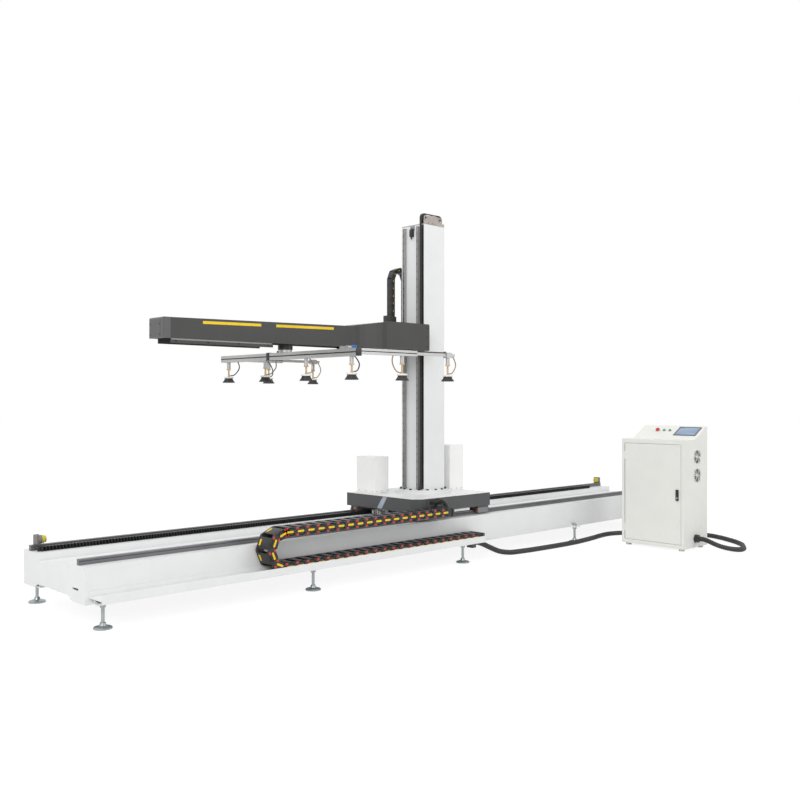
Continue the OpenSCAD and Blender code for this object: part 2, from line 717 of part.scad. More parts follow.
// Lift chain: fixed leg, two halves of the bend and the leg that stands on the head
module lift_chain_at(x, z) { color("black") site() translate([x, lift_chain_y0, z]) children(); }
module lift_links(count) { chain_run(count, lift_chain_pitch, lift_chain_h, lift_chain_w); }
module lift_arc(first_angle) {
    lift_chain_at(lift_chain_outer_x + lift_chain_r, lift_bend_z)
        chain_arc(2, first_angle, lift_chain_r, lift_chain_pitch, lift_chain_h, lift_chain_w);
}
module lift_chain_inner() lift_chain_at(lift_chain_inner_x, lift_bend_z - inner_links * lift_chain_pitch)
    rotate([0, -90, 0]) lift_links(inner_links);
module lift_chain_outer() lift_chain_at(lift_chain_outer_x, lift_bend_z)
    rotate([0, 90, 0]) lift_links(outer_links);
module lift_chain_bend_inner() lift_arc(0);
module lift_chain_bend_outer() lift_arc(90);

// Lift plate behind the head, with the belt clamp and the chain's shelf
lift_block_w = 40;
lift_block_l = 88;
clamp_gap = 0.4;
module lift_plate() color("dimgray") site() {
    box([plate_x0, -head_w / 2 + 20, head_bottom + 8], [plate_x1, head_w / 2 - 20, head_top - 8]);
    box([plate_x1, belt_y - belt_w / 2, head_bottom + 60],
        [belt_x - belt_t - clamp_gap, belt_y + belt_w / 2, head_top - 60]);
    box([plate_x0, lift_chain_y0, head_top - 10], [plate_x1, lift_chain_y0 + lift_chain_w, head_top + 12]);
    box([lift_chain_outer_x - lift_chain_h / 2, lift_chain_y0, head_top + tiny],
        [plate_x1, lift_chain_y0 + lift_chain_w, head_top + 12]);
}
module lift_guide_blocks() color("gray") site() for (side = [-1, 1])
    for (z = [head_bottom + 24, head_top - 24 - lift_block_l])
        translate([face_x, side * lift_rail_y, z]) linear_extrude(lift_block_l) rotate(90)
            guide_block_outline(lift_block_w, 8, lift_rail_w, lift_rail_h, face_x - plate_x1);

// Sheet head that flares out of the arm, open at the back and where the arm enters
flare_steps = 8;
function ease(s) = s * s * (3 - 2 * s);
function head_half(i) = arm_w / 2 + (head_w - arm_w) / 2 * ease(i / flare_steps);
function flare_x(i) = flare_x0 + flare_l * i / flare_steps;
module head_plan(inset) {
    over = inset > 0 ? 1 : 0;
    polygon(concat(
        [for (i = [0 : flare_steps]) [flare_x(i) - (i == 0 ? over : 0), inset - head_half(i)]],
        [[head_x1 + over, inset - head_w / 2], [head_x1 + over, head_w / 2 - inset]],
        [for (i = [flare_steps : -1 : 0]) [flare_x(i) - (i == 0 ? over : 0), head_half(i) - inset]]
    ));
}
module head_side(inset) {
    over = inset > 0 ? 1 : 0;
    polygon([
        [flare_x0 - over, head_bottom + inset], [head_x1 + over, head_bottom + inset],
        [head_x1 + over, head_top - inset], [head_x0, head_top - inset],
        [flare_x0 - over, arm_bottom + arm_root_h - inset]
    ]);
}
module head_body(inset) {
    intersection() {
        up_z(head_bottom - 1, head_top + 1) head_plan(inset);
        across_y(-head_w, head_w) head_side(inset);
    }
}
module head_cover() color("dimgray") site() difference() {
    head_body(0);
    head_body(sheet_t);
}

// Sheet arm cover, open below, rising to the head at its root
cover_x0 = arm_x0 + arm_cap_l;
module arm_side(inset) {
    over = inset > 0 ? 1 : 0;
    polygon([
        [cover_x0 - over, arm_bottom - over], [flare_x0 + over, arm_bottom - over],
        [flare_x0 + over, arm_bottom + arm_root_h - inset], [cover_x0 - over, arm_bottom + arm_tip_h - inset]
    ]);
}
module arm_cover() color("dimgray") site() {
    difference() {
        across_y(-arm_w / 2, arm_w / 2) arm_side(0);
        across_y(-arm_w / 2 + sheet_t, arm_w / 2 - sheet_t) arm_side(sheet_t);
    }
    for (side = [-1, 1]) translate([0, side * (arm_w / 2 - sheet_t - 3), 0])
        box([cover_x0, -3, arm_bottom - lip_h], [cover_x0 + lip_l, 3, arm_bottom + 14]);
}
// Rounded cap on the arm's tip
cap_r = 26;
cap_top = arm_bottom + arm_tip_h;
module cap_side() {
    rect([arm_x0 + cap_r, arm_bottom], [cover_x0, cap_top]);
    rect([arm_x0, arm_bottom], [cover_x0, cap_top - cap_r]);
    translate([arm_x0 + cap_r, cap_top - cap_r]) circle(r = cap_r);
}
module cap_plan() {
    rect([arm_x0 + cap_r, -arm_w / 2], [cover_x0, arm_w / 2]);
    rect([arm_x0, cap_r - arm_w / 2], [cover_x0, arm_w / 2 - cap_r]);
    for (side = [-1, 1]) translate([arm_x0 + cap_r, side * (arm_w / 2 - cap_r)]) circle(r = cap_r);
}
module arm_end_cap() color("gray") site() difference() {
    intersection() {
        across_y(-arm_w / 2, arm_w / 2) cap_side();
        up_z(arm_bottom, cap_top) cap_plan();
    }
    box([arm_x0 + 40, -arm_w / 2 + 12, arm_bottom - 1], [cover_x0 + 1, arm_w / 2 - 12, cap_top - 12]);
}
// Box beam inside the cover and the rails that the trolley hangs on
beam_wall = 6;
module arm_beam() color("gray") site() along_x(cover_x0 + 20, plate_x0) difference() {
    rect([-beam_w / 2, beam_z], [beam_w / 2, beam_z + beam_h]);
    rect([-beam_w / 2 + beam_wall, beam_z + beam_wall],
        [beam_w / 2 - beam_wall, beam_z + beam_h - beam_wall]);
}
trolley_rail_x0 = cover_x0 + 40;
trolley_rail_x1 = gripper_x + 160;
module trolley_rails() color("silver") site() for (side = [-1, 1])
    box([trolley_rail_x0, side * trolley_rail_y - trolley_rail_w / 2, trolley_rail_z],
        [trolley_rail_x1, side * trolley_rail_y + trolley_rail_w / 2, beam_z]);

// Trolley with its turning unit
trolley_z = arm_bottom + 17;
turn_z = arm_bottom - 44;
turn_r = 62;
spindle_r = 20;
module trolley() color("black") site() difference() {
    union() {
        along_x(gripper_x - 105, gripper_x + 105) difference() {
            rect([-75, trolley_z], [75, beam_z - 3]);
            for (side = [-1, 1]) rect(
                [side * trolley_rail_y - trolley_rail_w / 2 - tiny, trolley_rail_z - tiny],
                [side * trolley_rail_y + trolley_rail_w / 2 + tiny, beam_z]);
        }
        translate([gripper_x, 0, turn_z]) cylinder(h = trolley_z - turn_z + 1, r = turn_r);
    }
    translate([gripper_x, 0, turn_z - 1]) cylinder(h = 46, r = spindle_r + run_gap);
}

// Slotted aluminium profile
module profile(s) {
    slot = s * 0.17;
    deep = s * 0.16;
    difference() {
        rect([-s / 2, -s / 2], [s / 2, s / 2]);
        for (a = [0 : 90 : 270]) rotate(a) rect([-slot / 2, s / 2 - deep], [slot / 2, s / 2 + 1]);
    }
}
function bush_top(i) = i < 4 ? spine_z : side_bar_top - side_bar_s;
flange_top = turn_z - tiny;
module gripper_frame() color("silver") site() difference() {
    union() {
        translate([gripper_x, 0, spine_z + spine_s / 2]) across_y(-spine_l / 2, spine_l / 2) profile(spine_s);
        for (side = [-1, 1]) translate([0, side * side_bar_y, side_bar_top - side_bar_s / 2]) {
            along_x(side_bar_x0, side_bar_x0 + thick_bar_l) profile(side_bar_s);
            along_x(side_bar_x0 + thick_bar_l - 40, side_bar_x0 + side_bar_l)
                square(thin_bar_s, center = true);
        }
        for (i = [5, 7]) translate([cup_places[i][0], cup_places[i][1], side_bar_top - side_bar_s])
            box([-32, -side_bar_s / 2, 0], [32, side_bar_s / 2, side_bar_s]);
        for (i = [0 : 7]) translate([cup_places[i][0], cup_places[i][1], bush_top(i) - bush_h])
            cylinder(h = bush_h, r = bush_r);
        translate([gripper_x, 0, spine_top]) cylinder(h = flange_top - spine_top, r = turn_r - 6);
        translate([gripper_x, 0, spine_top]) cylinder(h = 50, r = spindle_r);
    }
    for (i = [0 : 7]) translate([cup_places[i][0], cup_places[i][1], bush_top(i) - bush_h - 1])
        cylinder(h = bush_h + 1, r = stem_d / 2 + run_gap);
}
// Vacuum valve on the near end of the spine
valve_y = -spine_l / 2 + 150;
module vacuum_valve() color("silver") site() {
    box([gripper_x - 22, valve_y - 45, spine_top], [gripper_x + 22, valve_y + 45, spine_top + 20]);
    translate([gripper_x, 0, spine_top + 10]) rod_y(valve_y + 45, valve_y + 70, 8);
}
// One sprung cup: lip, cap plate and stem
module cup(i) color("black") site() translate([cup_places[i][0], cup_places[i][1], cup_bottom]) {
    rotate_extrude() polygon([
        [0, 8], [cup_d / 2 - 14, 4], [cup_d / 2 - 3, 0], [cup_d / 2, 0], [cup_d / 2, 4],
        [cup_d / 2 - 14, 18], [30, 26], [24, cup_h], [0, cup_h]
    ]);
    translate([0, 0, cup_h]) cylinder(h = cap_plate_h, r = 36);
    translate([0, 0, cup_h]) cylinder(h = bush_top(i) - stem_room - cup_bottom - cup_h, r = stem_d / 2);
}
module cup_1() cup(0);
module cup_2() cup(1);
module cup_3() cup(2);
module cup_4() cup(3);
module cup_5() cup(4);
module cup_6() cup(5);
module cup_7() cup(6);
module cup_8() cup(7);

// Cabinet outline from the side, with its sloped console
module cabinet_side(inset) {
    polygon([
        [cabinet_x0 + inset, cabinet_foot_h + inset], [cabinet_x1 - inset, cabinet_foot_h + inset],
        [cabinet_x1 - inset, cabinet_h - inset], [cabinet_x0 + ledge_l + console_l, cabinet_h - inset],
        [cabinet_x0 + ledge_l, console_front_h - inset], [cabinet_x0 + inset, console_front_h - inset]
    ]);
}
module on_console(y, along) {
    translate([cabinet_x0 + ledge_l, y, console_front_h]) rotate([0, -console_slope, 0])
        translate([along, 0, 0]) children();
}
button_along = 168;
stop_y = cabinet_y1 - 205;
start_y = cabinet_y1 - 280;
off_y = cabinet_y1 - 345;
stop_stem_r = 9;
button_stem_r = 6;
door_r = door_t / 2;
door_axis_y = door_y1 - door_r - door_gap;
door_pin_r = 5;
door_pin_l = 14;
frame_t = 24;
module fan_hole() { rod_y(-20, 20, fan_r); }
module fan_spider() {
    for (a = [0, 60, 120]) rotate([0, a, 0]) box([-fan_r - 4, 0, -4], [fan_r + 4, cabinet_t, 4]);
    rod_y(0, cabinet_t, 20);
    rod_y(0, 40, 6);
}
module cabinet_shell() color("ivory") site() difference() {
    union() {
        difference() {
            across_y(cabinet_y0, cabinet_y1) cabinet_side(0);
            across_y(cabinet_y0 + cabinet_t, cabinet_y1 - cabinet_t) cabinet_side(cabinet_t);
            for (z = [upper_fan_z, lower_fan_z]) translate([fan_x, cabinet_y0, z]) fan_hole();
        }
        box([cabinet_x0, door_y0 - frame_t, door_z0 - frame_t],
            [cabinet_x0 + door_t + 4, door_y1 + frame_t, door_z1 + frame_t]);
        for (z = [upper_fan_z, lower_fan_z]) translate([fan_x, cabinet_y0, z]) fan_spider();
        for (x = [cabinet_x0 + 50, cabinet_x1 - 50]) for (y = [cabinet_y0 + 50, cabinet_y1 - 50])
            translate([x, y, 0]) cylinder(h = cabinet_foot_h, r = 28);
        translate([gland_x, 0, gland_z]) rod_y(cabinet_y0 - gland_l, cabinet_y0, conduit_d / 2 + 9);
    }
    box([cabinet_x0 - 1, door_y0, door_z0], [cabinet_x0 + door_t + 5, door_y1, door_z1]);
    translate([cabinet_x0 + door_r, door_axis_y, door_z0 - door_pin_l - tiny])
        cylinder(h = door_z1 - door_z0 + 2 * door_pin_l + 2 * tiny, r = door_pin_r + run_gap);
    on_console(stop_y, button_along) cylinder(h = 20, r = stop_stem_r + run_gap, center = true);
    for (y = [start_y, off_y]) on_console(y, button_along)
        cylinder(h = 20, r = button_stem_r + run_gap, center = true);
}
module cabinet_door() color("ivory") site() difference() {
    union() {
        difference() {
            box([cabinet_x0, door_y0 + door_gap, door_z0 + door_gap],
                [cabinet_x0 + door_t, door_axis_y, door_z1 - door_gap]);
            box([cabinet_x0 + 4, door_y0 + door_gap + 10, door_z0 + door_gap + 10],
                [cabinet_x0 + door_t + 1, door_axis_y - 24, door_z1 - door_gap - 10]);
        }
        translate([cabinet_x0 + door_r, door_axis_y, door_z0 + door_gap])
            cylinder(h = door_z1 - door_z0 - 2 * door_gap, r = door_r);
        translate([cabinet_x0 + door_r, door_axis_y, door_z0 - door_pin_l])
            cylinder(h = door_z1 - door_z0 + 2 * door_pin_l, r = door_pin_r);
        translate([0, latch_y, latch_z]) rod_x(cabinet_x0, cabinet_x0 + door_t, 16);
    }
    translate([0, latch_y, latch_z]) rod_x(cabinet_x0 - 1, cabinet_x0 + door_t + 1, latch_r + run_gap);
}
latch_r = 6;
module door_latch() color("black") site() translate([0, latch_y, latch_z]) {
    box([cabinet_x0 - 13, -14, -54], [cabinet_x0 - tiny, 14, 54]);
    rod_x(cabinet_x0 - 2, cabinet_x0 + door_t + 8, latch_r);
}
screen_w = 245;
screen_l = 168;
module touch_screen() color("slategray") site() on_console(cabinet_y1 - 425 - screen_w, 76) {
    difference() {
        box([0, 0, 0], [screen_l, screen_w, 6]);
        box([14, 14, 4], [screen_l - 14, screen_w - 14, 7]);
    }
}
press_room = 7;
module emergency_stop() color("red") site() on_console(stop_y, button_along) {
    translate([0, 0, -22]) cylinder(h = 22 + press_room + 1, r = stop_stem_r);
    translate([0, 0, press_room]) rotate_extrude()
        polygon([[0, 0], [17, 0], [21, 5], [21, 12], [16, 17], [0, 19]]);
}
module push_button() {
    translate([0, 0, -22]) cylinder(h = 22 + press_room + 1, r = button_stem_r);
    translate([0, 0, press_room]) cylinder(h = 8, r = 12);
}
module start_button() color("green") site() on_console(start_y, button_along) push_button();
module stop_button() color("green") site() on_console(off_y, button_along) push_button();
// Fan rotor that runs on the spider's pin inside the wall
blade_count = 7;
module fan_at(z) color("black") site() translate([fan_x, cabinet_y0, z]) difference() {
    union() {
        rod_y(cabinet_t + tiny, 34, 20);
        for (i = [0 : blade_count - 1]) rotate([0, i * 360 / blade_count, 0])
            translate([17, 19, 0]) rotate([35, 0, 0]) box([0, -11, -1.5], [fan_r - 22, 11, 1.5]);
    }
    rod_y(0, 41, 6 + run_gap);
}
module upper_fan() fan_at(upper_fan_z);
module lower_fan() fan_at(lower_fan_z);

// Conduit laid from the chain's anchor along the floor and round into the cabinet
lie = conduit_d / 2 + 1;
conduit_route = [
    [chain_end_x + 56, conduit_y, conduit_z], [chain_end_x + 106, conduit_y, conduit_z],
    [chain_end_x + 180, conduit_y - 4, conduit_z - 22], [chain_end_x + 270, conduit_y - 12, 106],
    [chain_end_x + 400, conduit_y - 24, 54], [chain_end_x + 530, conduit_y - 42, lie + 3],
    [4340, -608, lie], [4510, -628, lie], [4800, -644, lie], [5060, -650, lie], [5300, -642, lie],
    [5590, -604, lie], [5800, -566, lie], [5960, -556, lie], [6110, -598, lie], [6260, -704, lie],
    [6420, -862, lie], [6560, -1040, lie], [6645, -1220, lie], [6660, -1380, lie], [6602, -1538, lie],
    [6535, -1651, lie], [6439, -1788, lie], [6318, -1912, lie], [6170, -2010, lie], [6036, -2050, lie],
    [gland_x + 118, cabinet_y0 - 362, 36], [gland_x + 58, cabinet_y0 - 288, 56],
    [gland_x + 28, cabinet_y0 - 204, 84], [gland_x + 10, cabinet_y0 - 134, 104],
    [gland_x, cabinet_y0 - 80, gland_z], [gland_x, cabinet_y0 - gland_l, gland_z]
];
ring_sides = 10;
function unit(v) = v / norm(v);
function heading(p, i) = unit(p[min(i + 1, len(p) - 1)] - p[max(i - 1, 0)]);
function ring_points(p, i, r) =
    let (d = heading(p, i), side = unit(cross(d, [0, 0, 1])), lift = cross(side, d))
    [for (k = [0 : ring_sides - 1])
        p[i] + r * (cos(k * 360 / ring_sides) * side + sin(k * 360 / ring_sides) * lift)];
module tube(p, r) {
    n = len(p);
    polyhedron(
        points = [for (i = [0 : n - 1]) each ring_points(p, i, r)],
        faces = concat(
            [[for (k = [0 : ring_sides - 1]) k]],
            [for (i = [0 : n - 2]) for (k = [0 : ring_sides - 1]) let (m = (k + 1) % ring_sides)
                [i * ring_sides + m, i * ring_sides + k, (i + 1) * ring_sides + k, (i + 1) * ring_sides + m]],
            [[for (k = [ring_sides - 1 : -1 : 0]) (n - 1) * ring_sides + k]]
        )
    );
}
module conduit() color("black") site() tube(conduit_route, conduit_d / 2);

bed_frame();
levelling_feet();
travel_rails();
travel_rack();
bumper_brackets();
bumper_rubbers();
chain_tray();
chain_anchor();
travel_chain_lower();
travel_chain_bend_lower();
travel_chain_bend_upper();
travel_chain_upper();
carriage_base();
travel_guide_blocks();
travel_gearmotor();
travel_drive_cover();
swing_drive_cover();
slewing_ring();
chain_bracket();
travel_pinion();
column_tube();
column_flange();
lift_rails();
lift_belt();
pulley_bracket();
belt_foot();
front_pulley();
rear_pulley();
lift_chain_inner();
lift_chain_bend_inner();
lift_chain_bend_outer();
lift_chain_outer();
lift_plate();
lift_guide_blocks();
head_cover();
arm_cover();
arm_end_cap();
arm_beam();
trolley_rails();
trolley();
gripper_frame();
vacuum_valve();
cup_1();
cup_2();
cup_3();
cup_4();
cup_5();
cup_6();
cup_7();
cup_8();
cabinet_shell();
cabinet_door();
door_latch();
touch_screen();
emergency_stop();
start_button();
stop_button();
upper_fan();
lower_fan();
conduit();
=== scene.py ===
import math

import bmesh
import bpy
from mathutils import Matrix, Vector


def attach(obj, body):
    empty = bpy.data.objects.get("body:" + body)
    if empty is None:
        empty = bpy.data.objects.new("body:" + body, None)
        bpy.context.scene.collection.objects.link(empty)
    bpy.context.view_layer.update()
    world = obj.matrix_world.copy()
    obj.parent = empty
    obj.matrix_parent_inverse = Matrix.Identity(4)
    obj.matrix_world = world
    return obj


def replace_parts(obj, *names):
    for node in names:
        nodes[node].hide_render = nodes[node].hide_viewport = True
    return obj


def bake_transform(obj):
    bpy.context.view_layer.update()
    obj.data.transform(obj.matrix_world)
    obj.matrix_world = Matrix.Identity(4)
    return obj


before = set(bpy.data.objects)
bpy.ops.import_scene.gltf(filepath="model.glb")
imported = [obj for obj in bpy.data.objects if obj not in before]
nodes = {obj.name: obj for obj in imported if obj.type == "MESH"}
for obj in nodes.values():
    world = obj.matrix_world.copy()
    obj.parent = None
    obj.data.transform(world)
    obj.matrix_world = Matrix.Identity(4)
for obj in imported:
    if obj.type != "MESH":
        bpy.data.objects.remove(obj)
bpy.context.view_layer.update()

# Places are in site metres: X from the bed's left end, Y from its centre line to the rear, Z up
SITE = Vector((-3.610, 0.36375, 0.0))
UP = (0.0, 0.0, 1.0)
FRONT = (0.0, -1.0, 0.0)
LEFT = (-1.0, 0.0, 0.0)
RIGHT = (1.0, 0.0, 0.0)
BOTH = (-1.0, 1.0)
SIDES = 24
SHARP_ANGLE = math.radians(32)


# Materials

def new_material(name):
    """Returns a material with its node list, links and shader."""
    mat = bpy.data.materials.new(name)
    mat.use_nodes = True
    tree = mat.node_tree
    shader = tree.nodes["Principled BSDF"]
    return mat, tree.nodes, tree.links, shader


def noise(nodes_in, links, scale, detail=3.0, stretch=None):
    """Adds a noise texture in the object's own metres, stretched along an axis if asked."""
    place = nodes_in.new("ShaderNodeTexCoord")
    tex = nodes_in.new("ShaderNodeTexNoise")
    tex.inputs["Scale"].default_value = scale
    tex.inputs["Detail"].default_value = detail
    if stretch is None:
        links.new(place.outputs["Object"], tex.inputs["Vector"])
    else:
        mapping = nodes_in.new("ShaderNodeMapping")
        mapping.inputs["Scale"].default_value = stretch
        links.new(place.outputs["Object"], mapping.inputs["Vector"])
        links.new(mapping.outputs["Vector"], tex.inputs["Vector"])
    return tex


def tint(colour, factor):
    """Returns a colour scaled in brightness, with full alpha."""
    return tuple(min(1.0, c * factor) for c in colour[:3]) + (1.0,)


def finish_material(name, colour, rough, metal=0.0, vary=0.05, patch=5.0, grain=350.0, bump=0.03,
                    stretch=None, rough_span=0.08, painted_shade=0.0, coat=0.0):
    """Makes a finish with patchy colour, uneven gloss, a fine surface grain and painted shade in its corners.
    """
    mat, ns, links, shader = new_material(name)
    shader.inputs["Metallic"].default_value = metal
    shader.inputs["Coat Weight"].default_value = coat
    patches = noise(ns, links, patch, 4.0)
    ramp = ns.new("ShaderNodeValToRGB")
    ramp.color_ramp.elements[0].position = 0.3
    ramp.color_ramp.elements[1].position = 0.7
    ramp.color_ramp.elements[0].color = tint(colour, 1.0 - vary)
    ramp.color_ramp.elements[1].color = tint(colour, 1.0 + vary)
    links.new(patches.outputs["Fac"], ramp.inputs["Fac"])
    colour_out = ramp.outputs["Color"]
    # Painted shade: the colour is darkened where ambient occlusion finds the surface closed in, in corners
    # and between parts.
    if painted_shade > 0.0:
        corner = ns.new("ShaderNodeAmbientOcclusion")
        corner.samples = 6
        corner.inputs["Distance"].default_value = 0.05
        shade = ns.new("ShaderNodeMapRange")
        shade.inputs["From Min"].default_value = 0.25
        shade.inputs["From Max"].default_value = 0.85
        shade.inputs["To Min"].default_value = 1.0 - painted_shade
        shade.inputs["To Max"].default_value = 1.0
        links.new(corner.outputs["AO"], shade.inputs["Value"])
        dim = ns.new("ShaderNodeMix")
        dim.data_type = "RGBA"
        dim.blend_type = "MULTIPLY"
        dim.inputs["Factor"].default_value = 1.0
        links.new(colour_out, dim.inputs["A"])
        links.new(shade.outputs["Result"], dim.inputs["B"])
        colour_out = dim.outputs["Result"]
    links.new(colour_out, shader.inputs["Base Color"])
    fine = noise(ns, links, grain, 2.0, stretch)
    gloss = ns.new("ShaderNodeMapRange")
    gloss.inputs["To Min"].default_value = max(0.03, rough - rough_span)
    gloss.inputs["To Max"].default_value = min(1.0, rough + rough_span)
    links.new(fine.outputs["Fac"], gloss.inputs["Value"])
    links.new(gloss.outputs["Result"], shader.inputs["Roughness"])
    relief = ns.new("ShaderNodeBump")
    relief.inputs["Strength"].default_value = bump
    relief.inputs["Distance"].default_value = 0.001
    links.new(fine.outputs["Fac"], relief.inputs["Height"])
    links.new(relief.outputs["Normal"], shader.inputs["Normal"])
    return mat


LENGTHWAYS = (0.02, 1.0, 1.0)
UPRIGHT = (1.0, 1.0, 0.02)
# Where a finish is given an amount of painted shade, it darkens in its corners and between parts.
white_paint = finish_material("white_paint", (0.80, 0.81, 0.81), 0.42, vary=0.02, painted_shade=0.16, bump=0.05)
cabinet_paint = finish_material("cabinet_paint", (0.775, 0.775, 0.738), 0.45, vary=0.02, painted_shade=0.18,
                                bump=0.06)
cover_paint = finish_material("cover_paint", (0.93, 0.93, 0.91), 0.42, vary=0.02, painted_shade=0.10, bump=0.05)
rail_steel = finish_material("rail_steel", (0.17, 0.17, 0.178), 0.36, metal=0.7, vary=0.1, grain=900.0,
                             stretch=LENGTHWAYS)
upright_steel = finish_material("upright_steel", (0.24, 0.235, 0.228), 0.36, metal=0.7, vary=0.08,
                                grain=900.0, stretch=UPRIGHT)
bright_steel = finish_material("bright_steel", (0.55, 0.55, 0.54), 0.3, metal=0.9, vary=0.06, patch=30.0)
dark_steel = finish_material("dark_steel", (0.035, 0.035, 0.037), 0.4, metal=0.6, vary=0.2, painted_shade=0.2)
dark_paint = finish_material("dark_paint", (0.036, 0.0345, 0.0335), 0.45, vary=0.08, bump=0.08)
carriage_paint = finish_material("carriage_paint", (0.066, 0.067, 0.070), 0.45, vary=0.08, painted_shade=0.2,
                                 bump=0.08)
cap_paint = finish_material("cap_paint", (0.085, 0.085, 0.086), 0.42, vary=0.06, bump=0.08)
grey_paint = finish_material("grey_paint", (0.33, 0.34, 0.345), 0.42, vary=0.05)
block_steel = finish_material("block_steel", (0.22, 0.225, 0.23), 0.36, metal=0.7, vary=0.1)
aluminium = finish_material("aluminium", (0.46, 0.46, 0.455), 0.34, metal=0.75, vary=0.05, grain=800.0)
black_alloy = finish_material("black_alloy", (0.02, 0.02, 0.022), 0.4, metal=0.3, vary=0.2)
black_plastic = finish_material("black_plastic", (0.016, 0.016, 0.017), 0.42, vary=0.25, bump=0.12)
conduit_plastic = finish_material("conduit_plastic", (0.017, 0.017, 0.017), 0.4, vary=0.25, bump=0.1)
black_rubber = finish_material("black_rubber", (0.02, 0.02, 0.02), 0.6, vary=0.25, bump=0.2)
yellow_rubber = finish_material("yellow_rubber", (0.52, 0.46, 0.03), 0.5, vary=0.1, bump=0.1)
yellow_plastic = finish_material("yellow_plastic", (0.84, 0.57, 0.0), 0.45, vary=0.08)
red_plastic = finish_material("red_plastic", (0.62, 0.022, 0.018), 0.32, vary=0.08)
green_plastic = finish_material("green_plastic", (0.11, 0.36, 0.24), 0.32, vary=0.08)
blue_plastic = finish_material("blue_plastic", (0.02, 0.16, 0.5), 0.32, vary=0.08)
white_plastic = finish_material("white_plastic", (0.78, 0.78, 0.77), 0.4, vary=0.03)
brass = finish_material("brass", (0.50, 0.37, 0.21), 0.32, metal=0.7, vary=0.1, patch=40.0)
screen_glass = finish_material("screen_glass", (0.20, 0.30, 0.45), 0.14, vary=0.12, patch=9.0, bump=0.0,
                               rough_span=0.03, coat=0.5)
bezel_plastic = finish_material("bezel_plastic", (0.10, 0.125, 0.16), 0.35, vary=0.05)
bracket_metal = finish_material("bracket_metal", (0.36, 0.32, 0.30), 0.36, metal=0.6, vary=0.12, patch=20.0)
seal_rubber = finish_material("seal_rubber", (0.20, 0.055, 0.03), 0.5, vary=0.1, bump=0.1)
tan_hose = finish_material("tan_hose", (0.34, 0.23, 0.13), 0.38, vary=0.12)
zinc_steel = finish_material("zinc_steel", (0.36, 0.40, 0.40), 0.33, metal=0.75, vary=0.1, patch=30.0)
bumper_grey = finish_material("bumper_grey", (0.16, 0.155, 0.15), 0.45, vary=0.08)
lip_grey = finish_material("lip_grey", (0.26, 0.255, 0.25), 0.42, vary=0.06)
# Pale bluish colour of the painted highlight on the carriage skirt's slanted strip
painted_highlight = finish_material("painted_highlight", (0.38, 0.43, 0.50), 0.35, metal=0.3, vary=0.05)

node_finish = {
    "bed_frame": white_paint, "levelling_feet": zinc_steel, "travel_rails": rail_steel,
    "travel_rack": dark_steel, "bumper_brackets": bumper_grey, "bumper_rubbers": yellow_rubber,
    "chain_tray": white_paint, "chain_anchor": carriage_paint, "carriage_base": carriage_paint,
    "travel_guide_blocks": block_steel,
    "travel_gearmotor": grey_paint, "travel_drive_cover": cover_paint, "swing_drive_cover": cover_paint,
    "slewing_ring": white_paint, "chain_bracket": carriage_paint, "travel_pinion": bright_steel,
    "column_tube": white_paint, "column_flange": white_paint, "lift_rails": upright_steel,
    "lift_belt": black_rubber, "pulley_bracket": bracket_metal, "belt_foot": black_plastic,
    "front_pulley": dark_steel, "rear_pulley": dark_steel, "lift_plate": dark_paint,
    "lift_guide_blocks": block_steel, "head_cover": dark_paint, "arm_cover": dark_paint,
    "arm_end_cap": cap_paint, "arm_beam": grey_paint, "trolley_rails": bright_steel, "trolley": black_alloy,
    "gripper_frame": aluminium, "vacuum_valve": bright_steel, "cabinet_shell": cabinet_paint,
    "cabinet_door": cabinet_paint, "door_latch": black_plastic, "touch_screen": bezel_plastic,
    "emergency_stop": red_plastic, "start_button": green_plastic, "stop_button": green_plastic,
    "upper_fan": black_plastic, "lower_fan": black_plastic,
}
for name, finish in node_finish.items():
    nodes[name].data.materials.clear()
    nodes[name].data.materials.append(finish)

# The carriage's top is white, as the flange and the covers on it are
CARRIAGE_TOP = 0.612
carriage_base = nodes["carriage_base"]
carriage_base.data.materials.append(white_paint)
for face in carriage_base.data.polygons:
    if face.normal.z > 0.9 and (carriage_base.matrix_world @ face.center).z > CARRIAGE_TOP - 0.001:
        face.material_index = 1


# Mesh tools

